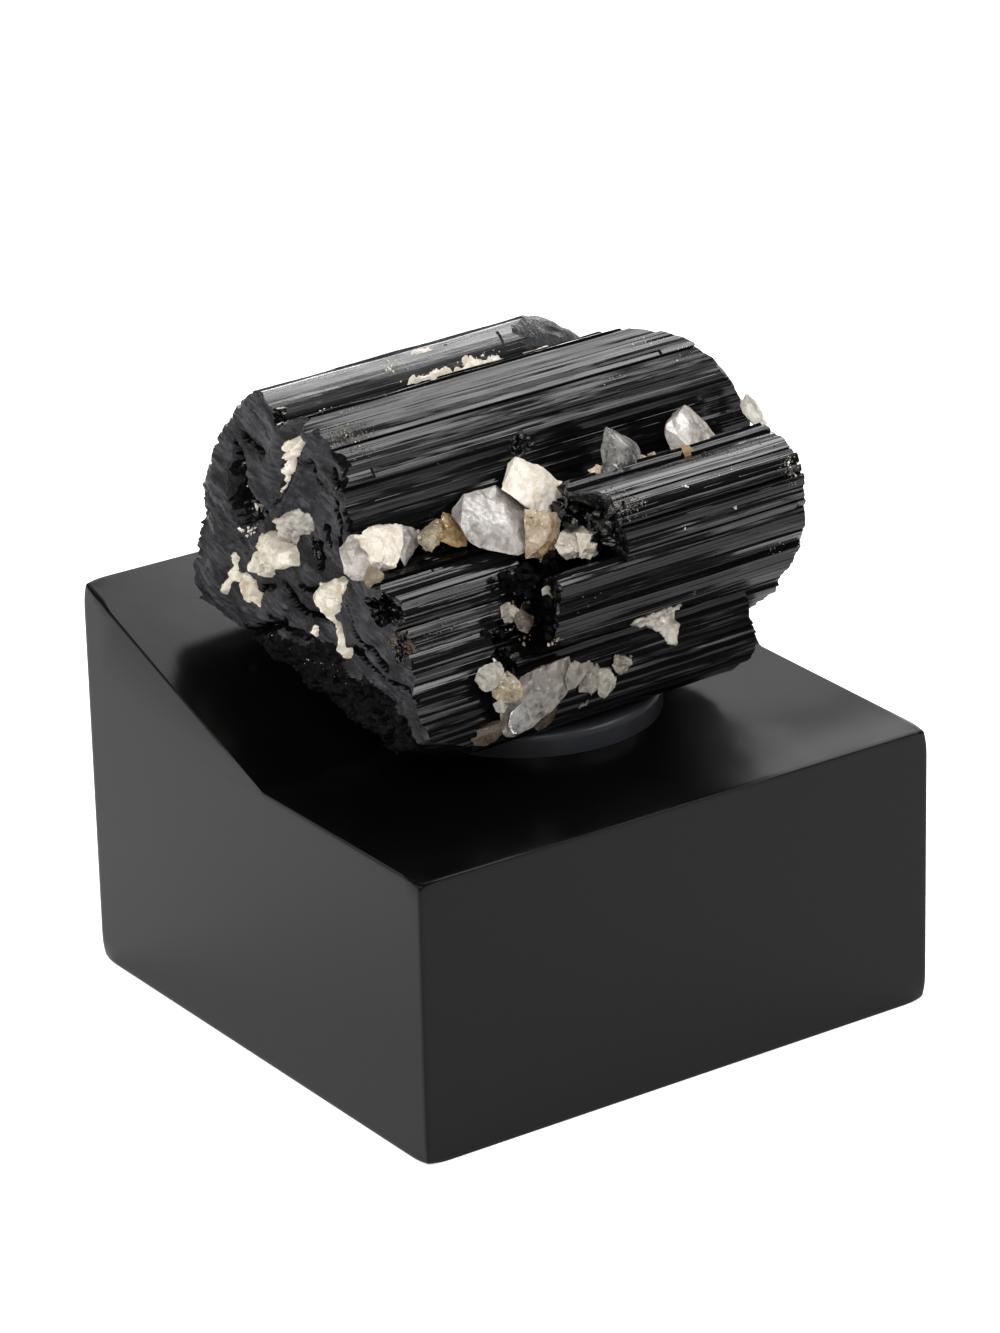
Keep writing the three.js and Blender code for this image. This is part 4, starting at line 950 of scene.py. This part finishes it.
# The crystals: name, finish, slot, CAD node, seed, corners and what differs from a usual one
CRYSTALS = [
    ("large_grey_quartz", grey, "quartz_clear", "quartz_large_cluster", 81, [(-17.1, -10, 90.5),
     (-13.9, -9.5, 92.5), (-10.1, -9.5, 91.9), (-7.9, -9.5, 92.2), (-6.7, -9.8, 91.5), (-4.6, -11, 88.8),
     (-3.4, -12.5, 87.8), (-4.4, -14.4, 86.2), (-6.0, -16, 84.8), (-8.6, -17.4, 83.8), (-10.5, -18, 84.0),
     (-13.8, -18, 85.4), (-17.5, -17.5, 86.9), (-18.8, -17, 88.0), (-19.0, -15, 90.0)],
     dict(relief=0.2, rise=0.15, growths=0)),
    ("tan_matrix", tan_quartz, "quartz_clear", "quartz_large_cluster", 82, [(-6.5, -15.4, 90),
     (-3.1, -15.8, 90.1), (-0.9, -16.4, 88), (-0.4, -16.8, 86), (-1.8, -17.4, 83.4), (-5.8, -18, 82.2),
     (-9, -18.4, 82.8), (-3.5, -18.2, 86.5), (-6, -18.6, 84.4)],
     dict(relief=0.3, chip=0.1, cell=0.35, rise=0.12, growths=3)),
    ("tan_crust", amber, "quartz_amber", "quartz_large_cluster", 112, [(-8.4, -18.6, 83.4),
     (-5.6, -18.4, 84.4), (-2.8, -18.2, 85.4), (-1.6, -18, 84.2), (-3.6, -18.6, 82.8), (-6.4, -19, 82.0),
     (-8.6, -19.2, 82.2)], dict(relief=0.08, chip=0.2, cell=0.3, growths=4)),
    ("cream_block", feldspar, "feldspar", "quartz_large_cluster", 83, [(-4.1, -8.5, 94.9), (-2.6, -8.5, 95.8),
     (-1.6, -8.5, 95.5), (0.9, -9, 93.8), (3.7, -9.5, 91.8), (7.2, -10.5, 89.2), (2.8, -12, 88.6),
     (1.3, -13, 87.8), (-1.3, -14, 87.4), (-3.2, -14, 88.2), (-6.4, -13.5, 91.0), (-8.4, -12, 92.8),
     (-5.7, -10.5, 94.2)], dict(relief=0.24, chip=0.07, cell=0.35, rise=0.1, growths=1)),
    ("white_crumb_left", feldspar, "feldspar", "quartz_large_cluster", 84, [(0.4, -16.5, 84.9),
     (2.2, -16.8, 84.9), (3.9, -17, 84.0), (3.0, -19, 81.0), (-2.1, -20, 81.3), (-2.9, -19.5, 82.9),
     (-3.1, -18.5, 83.7), (-1.0, -17.5, 84.1), (-0.6, -20.4, 82.8)],
     dict(relief=0.08, chip=0.26, cell=0.3, growths=6)),
    ("white_crumb_right", feldspar, "feldspar", "quartz_large_cluster", 85, [(2.5, -17, 83.8),
     (6.2, -16.5, 83.2), (5.8, -17.5, 82.0), (6.6, -18.5, 80.3), (3.0, -19.5, 80.2), (1.2, -19.5, 81.0),
     (1.6, -20.2, 82.4), (4.2, -19.8, 81.8), (4.5, -18.6, 83.4)],
     dict(relief=0.08, chip=0.26, cell=0.3, growths=6)),
    ("amber_quartz", amber, "quartz_amber", "quartz_amber", 86, [(-19.5, -9.5, 90.0), (-18.4, -9, 90.5),
     (-17.2, -9, 89.8), (-15.6, -8.5, 89.4), (-15.0, -11, 87.0), (-14.8, -12, 86.1), (-16.8, -13, 85.8),
     (-20.5, -14, 86.5), (-22.4, -14, 87.4), (-23.4, -13.5, 88.6), (-22.6, -12, 89.6)],
     dict(relief=0.22, chip=0.1, cell=0.3, growths=5)),
    ("amber_grey_end", honey, "quartz_amber", "quartz_amber", 87, [(-23.8, -10, 88.8), (-22.2, -10, 89.4),
     (-19.8, -9.5, 90.0), (-21.0, -12.6, 89.4), (-22.0, -13.4, 87.6), (-24.3, -14, 87.0),
     (-26.0, -14.6, 87.6), (-26.6, -13.6, 88.8), (-25.4, -12, 89.4)],
     dict(relief=0.2, chip=0.14, cell=0.3, growths=5)),
    ("left_cluster_grey", grey, "quartz_clear", "quartz_left_cluster", 88, [(-39.6, -11, 89.4),
     (-39.3, -10, 90.0), (-36.4, -9, 91.1), (-34.2, -10, 91.0), (-34.0, -14.4, 88.4), (-36.4, -14.6, 86.1),
     (-38.2, -13, 85.0), (-39.6, -12.6, 85.4), (-40.2, -12.5, 87.0), (-39.9, -12, 88.8)],
     dict(relief=0.24, chip=0.03, growths=4)),
    ("left_cluster_cream", feldspar, "feldspar", "quartz_left_cluster", 89, [(-35.8, -10, 90.9),
     (-33.3, -9, 91.1), (-31.6, -8.5, 91.8), (-30.2, -8.5, 91.0), (-28.3, -8.5, 90.7), (-26.0, -8.5, 90.2),
     (-25.4, -9.4, 88.9), (-26.9, -11.5, 86.4), (-30.0, -13, 85.1), (-31.7, -13.5, 84.4), (-33.5, -14, 84.0),
     (-35.8, -14.8, 85.9), (-36.4, -15.2, 88.2), (-35.8, -14, 90.4)],
     dict(relief=0.28, chip=0.13, cell=0.33, rise=0.16, growths=5)),
    ("left_cluster_right", grey, "quartz_clear", "quartz_left_cluster", 90, [(-27.4, -8, 90.4),
     (-24.9, -8.5, 89.9), (-23.5, -8.6, 89.2), (-23.2, -9, 88.3), (-24.2, -10, 87.0), (-25.9, -10.8, 85.8),
     (-28.4, -12.2, 85.2), (-29.4, -12, 87.4), (-27.0, -11.4, 88.8)],
     dict(relief=0.22, chip=0.05, growths=3)),
    ("left_cluster_wedge", honey, "quartz_clear", "quartz_left_cluster", 91, [(-37.6, -15.0, 88.2),
     (-35.9, -15.2, 87.2), (-34.4, -14.8, 85.6), (-34.2, -13.8, 84.0), (-35.5, -13.8, 83.7),
     (-36.8, -13.8, 84.0), (-38.0, -14.3, 85.7)], dict(relief=0.05, growths=3)),
    ("point_crystal", clear, "quartz_clear", "quartz_point", 92, [(14.0, -11, 97.6), (15.2, -11, 97.2),
     (17.7, -11.3, 95.6), (19.0, -11.5, 94.5), (19.4, -12, 93.9), (18.8, -13.4, 93.1), (18.4, -14.4, 91.2),
     (17.1, -15.4, 90.6), (14.6, -16, 91.0), (11.7, -16.4, 91.4), (9.8, -16.5, 91.2), (9.4, -15.6, 92.4),
     (11.3, -13, 94.9), (12.7, -12, 96.7)], dict(relief=0.09, rise=0.3, growths=1)),
    ("point_foot", tan_quartz, "quartz_clear", "quartz_point", 93, [(7.8, -14, 92.4), (9.2, -14, 92.9),
     (9.9, -14.5, 92.6), (10.0, -15.6, 91.9), (9.2, -16.2, 91.2), (7.5, -16, 91.2), (7.6, -15, 92.1)],
     dict(relief=0.05, chip=0.12, cell=0.3)),
    ("point_heel", tan_quartz, "quartz_clear", "quartz_point", 94, [(18.0, -13.4, 92.2), (18.6, -14, 92.3),
     (19.9, -14.4, 91.6), (19.6, -15, 90.8), (18.0, -15, 90.8)], dict(relief=0.04, chip=0.1, cell=0.3)),
    ("blocky_quartz", milky, "quartz_clear", "quartz_blocky", 95, [(28.0, -10.5, 97.2), (30.2, -10, 97.2),
     (32.4, -10, 96.2), (34.6, -10.5, 93.7), (35.7, -11.3, 92.0), (36.2, -12, 91.3), (34.9, -13.6, 90.4),
     (33.6, -14.2, 90.2), (29.8, -15.8, 90.7), (27.2, -16.2, 91.4), (24.4, -16.2, 92.2), (22.4, -16, 92.6),
     (22.8, -15, 94.2), (24.6, -13, 95.3), (26.7, -11.5, 96.3)], dict(relief=0.16, growths=2)),
    ("blocky_amber", amber, "quartz_amber", "quartz_blocky", 96, [(22.2, -16.2, 93.2), (23.8, -16.8, 93.4),
     (25.8, -17.0, 93.0), (27.6, -17.0, 91.6), (25.2, -17.4, 91.0), (23.2, -17.4, 91.0)],
     dict(relief=0.04, growths=0, stand=1.6)),
    ("notch_feldspar", milky, "feldspar", "quartz_notch", 97, [(41.0, -12, 95.6), (43.2, -11.5, 96.2),
     (45.4, -11.3, 95.6), (46.2, -11.8, 93.8), (47.0, -12.4, 91.3), (45.4, -14, 90.4), (43.6, -14.6, 90.8),
     (42.6, -14.8, 92.0), (41.4, -14.4, 93.4), (40.6, -13.6, 94.4)], dict(relief=0.2, growths=2)),
    ("front_clear_quartz", lens, "quartz_clear", "quartz_front_cluster", 98, [(-7.4, -26.4, 67.6),
     (-5.8, -26.6, 68.1), (-4.4, -26.8, 67.4), (-4.1, -27.5, 66.3), (-4.9, -28, 65.7), (-8.0, -28.6, 64.0),
     (-12.2, -29.4, 61.9), (-14.6, -29.4, 60.7), (-17.1, -29.4, 59.8), (-19.3, -29.4, 59.3),
     (-20.6, -29, 58.9), (-22.0, -29, 59.5), (-23.0, -29, 61.3), (-22.9, -29, 63.5), (-20.4, -28.6, 66.2),
     (-17.5, -27.6, 67.8), (-13.3, -27, 67.9)], dict(relief=0.2, rise=0.3, growths=0, stand=0.7)),
    ("front_lobe_quartz", clear, "quartz_clear", "quartz_front_cluster", 110, [(-21.4, -30.0, 60.0),
     (-22.4, -30.0, 61.6), (-22.0, -30.2, 63.6), (-20.0, -30.2, 64.6), (-17.4, -30.2, 64.2),
     (-15.6, -30.2, 62.6), (-16.2, -30.2, 60.6), (-18.4, -30.2, 59.6)],
     dict(relief=0.08, rise=0.9, growths=0)),
    ("front_tip_quartz", lens, "quartz_clear", "quartz_front_cluster", 111, [(-8.2, -28.0, 67.2),
     (-5.6, -27.4, 68.0), (-4.2, -27.6, 67.0), (-4.4, -28.2, 65.8), (-7.6, -28.8, 63.8), (-9.4, -29.0, 63.8),
     (-9.6, -28.6, 65.6)], dict(relief=0.06, rise=0.4, growths=0)),
    ("front_lower_quartz", smoky, "quartz_clear", "quartz_front_cluster", 99, [(-9.6, -27.4, 61.8),
     (-10.9, -27, 58.6), (-12.2, -26.5, 56.9), (-13.8, -26.5, 56.8), (-16.2, -27.5, 58.5),
     (-15.6, -28.6, 60.6), (-12.6, -28.8, 61.4)], dict(relief=0.06, growths=1)),
    ("front_brown_quartz", smoky, "quartz_clear", "quartz_front_cluster", 100, [(-24.6, -28.2, 64.4),
     (-22.2, -28.5, 63.2), (-21.8, -28, 60.0), (-22.6, -27.4, 58.6), (-24.4, -26.6, 57.8),
     (-27.6, -25.2, 58.4), (-26.2, -26.2, 60.2), (-25.4, -27.3, 62.4)],
     dict(relief=0.05, rise=0.15, growths=1, stand=1.4)),
    ("front_amber_quartz", honey, "quartz_amber", "quartz_front_cluster", 101, [(-23.4, -27.4, 68.1),
     (-19.1, -26.4, 68.8), (-17.7, -27.6, 67.9), (-18.6, -29.2, 65.6), (-20.6, -29.3, 65.0),
     (-22.8, -29.1, 65.4), (-23.8, -28.1, 66.4)], dict(relief=0.06, chip=0.1, cell=0.33)),
    ("front_white_block", pale_drab, "feldspar", "quartz_front_cluster", 102, [(-24.7, -26, 70.6),
     (-22.4, -25.4, 70.7), (-20.4, -25.6, 70.2), (-19.6, -26.6, 68.6), (-22.3, -27.8, 68.5),
     (-24.1, -28.2, 67.6), (-25.2, -28, 67.6), (-25.8, -27.4, 68.6), (-26.3, -26.8, 69.4)],
     dict(relief=0.08, chip=0.2, cell=0.33, growths=5)),
    ("front_cream_lump", pale_drab, "feldspar", "quartz_front_cluster", 103, [(-24.5, -29.0, 65.6),
     (-22.9, -29.3, 66.0), (-21.6, -29.6, 65.1), (-22.5, -29.7, 63.8), (-23.8, -29.1, 63.9)],
     dict(relief=0.04, chip=0.15, cell=0.3)),
    ("beside_tan", drab, "feldspar", "feldspar_beside_cluster", 104, [(-3.8, -25.6, 65.6),
     (-0.4, -25.2, 65.5), (-0.2, -26.5, 63.3), (-1.6, -28, 62), (-3.5, -27.6, 61.3), (-5.6, -27.2, 62.1),
     (-5.3, -27, 63.1)], dict(relief=0.08, chip=0.22, cell=0.33, growths=5)),
    ("beside_cream", pale_drab, "feldspar", "feldspar_beside_cluster", 105, [(-0.6, -26, 63.7),
     (0.6, -25.8, 64.6), (1.3, -26, 64.2), (1.7, -26.5, 62.9), (1.9, -27, 62.0), (1.1, -27.5, 60.8),
     (-1.3, -28, 59.7), (-2.4, -27.8, 61), (-0.6, -28.4, 62.2)],
     dict(relief=0.08, chip=0.18, cell=0.33, growths=4, stand=1.0)),
    ("beside_bead", drab, "feldspar", "feldspar_beside_cluster", 106, [(3.0, -26, 65.3), (4.6, -25.8, 64.7),
     (6.9, -25.3, 64.4), (6.0, -26.2, 62.5), (4.4, -26.8, 62.6), (2.6, -27, 62.8), (2.0, -26.5, 64.1),
     (4.2, -27.2, 63.8)], dict(relief=0.08, chip=0.25, cell=0.3, growths=5)),
    ("pit_cream", pale_drab, "feldspar", "feldspar_in_pit", 107, [(-18.3, -23.5, 78.7), (-14.9, -22.5, 78.4),
     (-13.2, -22, 79.8), (-12.0, -22, 78.1), (-12.6, -22.8, 76.7), (-15.1, -23.2, 76.4), (-16.4, -23.7, 75.7),
     (-17.9, -24, 76.1), (-18.5, -24, 77.7)], dict(relief=0.08, chip=0.24, cell=0.3, growths=5)),
    ("pit_brown", smoky, "quartz_clear", "feldspar_in_pit", 108, [(-16.2, -24, 76.5), (-13.2, -22.8, 76.9),
     (-11.6, -23.2, 75.6), (-12.2, -24, 74.0), (-14.0, -24.7, 73.6), (-15.8, -24.7, 74.6)],
     dict(relief=0.05, chip=0.1, cell=0.3, growths=1)),
    ("pit_oval", feldspar, "feldspar", "feldspar_oval", 109, [(-8.9, -21.6, 79.9), (-8.2, -21.8, 79.8),
     (-7.2, -22, 78.6), (-6.9, -22, 77.2), (-7.3, -22, 76.6), (-8.2, -22, 77.2), (-9.2, -22, 78.6),
     (-9.3, -21.8, 79.6)], dict(relief=0.02, chip=0.0, cell=0.25, growths=0, stand=1.6, smooth=50)),
]
for name, finish, slot, node, seed, corners, options in CRYSTALS:
    crystal(name, finish, slot, node, seed, corners, **options)

# Grains and dust: crumbs of feldspar and quartz that lie caught on the schorl and in its clefts, pale specks
# in the vug that stand partly for glints on its black crystals (painted highlights), and a rusty crust of
# brown grains in the hollow at the end of the left front prism. Each is a lump with broken faces.
dust = stained("dust", (0.13, 0.12, 0.10), 0.6, (0.17, 0.155, 0.13), (0.05, 0.045, 0.04),
               (0.16, 0.11, 0.06), 0.62, 1.5)
rust = Finish("rust_crust", (0.12, 0.06, 0.02), 0.6)
even = rust.space()
rust.use("Base Color", rust.ramp(rust.cloud(even, 0.9, 4), (0.38, (0.04, 0.026, 0.016)),
                                 (0.62, (0.12, 0.078, 0.047))))
rust.relief(rust.cloud(even, 2.5, 4), 0.1, 0.7)

# Heaps as (side, middle and reach across that side, number, largest size)
GRAINS = {
    "pale_grains_and_glints": (feldspar, "feldspar", [
        ("top", (-33.4, -4.6), (3.4, 1.8), 26, 0.4), ("front", (5.4, 90.6), (2.4, 1.2), 16, 0.35),
        ("top", (17.0, -26.9), (0.5, 0.4), 5, 0.8), ("front", (25.8, 85.9), (0.6, 0.5), 6, 0.7),
        ("front", (14.7, 85.1), (0.4, 0.4), 3, 0.9), ("top", (26.0, -26.3), (4.0, 0.8), 16, 0.35),
        ("front", (38.3, 89.6), (1.2, 1.4), 18, 0.6), ("front", (35.3, 76.3), (4.0, 1.5), 14, 0.35),
        ("front", (-4.5, 78.0), (3.0, 2.0), 5, 0.3), ("top", (27.9, -3.6), (6.0, 1.6), 40, 0.35),
        ("top", (34.4, -5.6), (3.0, 1.6), 16, 0.35), ("top", (19.9, -6.3), (8.0, 1.0), 14, 0.35),
        ("top", (-17.8, -8.1), (1.0, 1.0), 4, 0.4), ("top", (-31.5, 6.6), (4.5, 0.8), 60, 0.6),
        ("top", (-28.6, 1.0), (3.0, 1.8), 22, 0.35), ("top", (-12.4, 11.0), (3.0, 1.0), 30, 0.7),
        ("top", (-9.2, 8.2), (6.0, 0.7), 60, 0.7), ("top", (3.0, 8.6), (6.0, 0.7), 50, 0.6),
        # The left heaps at (15.4, 88.4), (22.0, 94.7), (21.3, 86.6), (19.4, 91.4) and (19.7, 83.4) lie in the
        # vug. They are partly white grains and partly pale specks that stand for glints on its black
        # crystals, which are painted highlights.
        ("left", (0.9, 72.3), (0.3, 0.3), 5, 2.2), ("left", (15.4, 88.4), (0.6, 0.5), 10, 2.4),
        ("left", (26.2, 63.4), (0.7, 0.6), 5, 1.6), ("left", (22.0, 94.7), (0.8, 0.9), 12, 1.0),
        ("left", (21.3, 86.6), (0.35, 0.35), 6, 2.4), ("left", (19.4, 91.4), (1.6, 0.5), 14, 0.8),
        ("left", (19.7, 83.4), (1.8, 0.8), 26, 1.0), ("left", (0, 67.0), (14.0, 2.4), 30, 0.3),
        ("front", (-19.7, 70.1), (0.3, 0.3), 4, 1.2), ("front", (0.5, 84.0), (3.4, 1.8), 12, 0.5)]),
    "tan_grains": (tan_quartz, "quartz_clear", [
        ("front", (-10.6, 71.2), (2.2, 0.8), 26, 0.8), ("top", (8.6, -14.6), (1.2, 0.8), 8, 1.0),
        ("top", (20.6, -14.8), (0.8, 0.6), 8, 1.6)]),
    "dust_grains": (dust, "feldspar", [
        ("top", (-33.0, -4.8), (4.2, 2.2), 420, 0.5), ("front", (4.6, 91.0), (3.0, 1.8), 300, 0.5),
        ("top", (27.9, -22.4), (9.0, 1.4), 160, 0.4), ("front", (38.3, 89.0), (1.8, 2.6), 110, 0.5),
        ("top", (-14.0, 3.6), (12.0, 1.6), 120, 0.35), ("front", (-4.6, 59.4), (1.2, 1.0), 10, 1.1)]),
}
chance = random.Random(23)
for name, (finish, slot, heaps) in GRAINS.items():
    bm = bmesh.new()
    for side, middle, reach, number, largest in heaps:
        for _ in range(number):
            at = [place + chance.gauss(0, 0.5) * part for place, part in zip(middle, reach)]
            size = largest * chance.uniform(0.3, 1) ** 1.5
            hit = landing(side, *at)
            shape = [size * chance.uniform(0.6, 1.2) for _ in range(3)]
            if hit:
                add_lump(bm, hit, shape, chance)
    bmesh.ops.recalc_face_normals(bm, faces=bm.faces)
    add_piece(name, bm, LAY, finish, slot)

bm = bmesh.new()
for _ in range(150):
    hit = landing("left", -20.4 + chance.gauss(0, 0.8), 76.2 + chance.gauss(0, 1.2))
    shape = [chance.uniform(0.3, 0.7) for _ in range(3)]
    if hit:
        add_lump(bm, hit, shape, chance)
bmesh.ops.recalc_face_normals(bm, faces=bm.faces)
add_piece("rust_grains", bm, LAY, rust, "schorl")

# The studio: a wide white sweep under the stand, a bright backdrop, and narrow soft lights behind, above and
# at both sides, which draw bright streaks on the ribs. The camera stands where the photographer's did.
paper = Finish("white_paper", (0.9, 0.9, 0.9), 0.8, Emission_Color=(1, 1, 1, 1), Emission_Strength=0.6)
paper.use("Base Color", paper.ramp(paper.cloud(paper.space(), 0.01, 2), (0.3, 0.89), (0.7, 0.91)))
bm = bmesh.new()
bmesh.ops.create_grid(bm, x_segments=2, y_segments=2, size=3.0)
floor = put("floor", bm, paper)

world = bpy.data.worlds.new("studio")
bpy.context.scene.world = world
world.use_nodes = True
world.node_tree.nodes["Background"].inputs["Color"].default_value = (1, 1, 1, 1)
world.node_tree.nodes["Background"].inputs["Strength"].default_value = 0.12

# Soft lights as (name, place, aim, size, brightness of the face, white paper being 1)
LIGHTS = [
    ("backdrop", (0.2, 1.7, 0.6), (0.2, 0, 0.5), (4.4, 0.9), 1.6),
    ("low_back", (1.0, 1.55, 0.34), (0, 0, 0.09), (1.6, 0.34), 6.0),
    ("high_back", (0.8, 0.95, 0.95), (0, 0, 0.09), (1.0, 0.3), 2.6),
    ("behind", (0.55, 0.55, 0.95), (0, 0, 0.09), (0.8, 0.22), 3.6),
    ("above", (0.75, 0.26, 1.05), (0, 0, 0.09), (0.8, 0.24), 3.4),
    ("overhead", (0.72, -0.12, 1.05), (0, 0, 0.09), (0.8, 0.24), 10.0),
    ("right_front", (0.75, -0.75, 0.75), (0, 0, 0.09), (0.9, 0.12), 8.0),
    ("left", (-1.1, 0.25, 0.7), (-0.1, 0, 0.05), (0.7, 0.5), 4.0),
    ("front", (-0.75, -1.0, 1.15), (0, 0, 0.08), (1.2, 1.0), 5.0),
]
for name, place, aim, size, brightness in LIGHTS:
    lamp = bpy.data.lights.new(name, "AREA")
    lamp.shape, lamp.size, lamp.size_y = "RECTANGLE", size[0], size[1]
    lamp.energy = brightness * math.pi * size[0] * size[1]
    holder = bpy.data.objects.new(name, lamp)
    bpy.context.scene.collection.objects.link(holder)
    holder.location = place
    holder.rotation_mode = "QUATERNION"
    holder.rotation_quaternion = (Vector(aim) - Vector(place)).to_track_quat("-Z", "Y")

CAMERA_EYE = (-0.480758, -0.700940, 0.404222)
CAMERA_RIGHT = (0.819328, -0.572869, -0.022864)
CAMERA_UP = (0.234427, 0.298355, 0.925218)
CAMERA_BACK = (-0.523207, -0.763417, 0.378747)
CAMERA_LENS = 151.3186
camera_data = bpy.data.cameras.new("camera")
camera_data.sensor_width = 36.0
camera_data.lens = CAMERA_LENS
camera_data.clip_start, camera_data.clip_end = 0.05, 20.0
camera = bpy.data.objects.new("camera", camera_data)
camera.matrix_world = Matrix.Translation(CAMERA_EYE) @ Matrix(
    (CAMERA_RIGHT, CAMERA_UP, CAMERA_BACK)).transposed().to_4x4()
bpy.context.scene.collection.objects.link(camera)
bpy.context.scene.camera = camera
bpy.context.scene.view_settings.view_transform = "Standard"
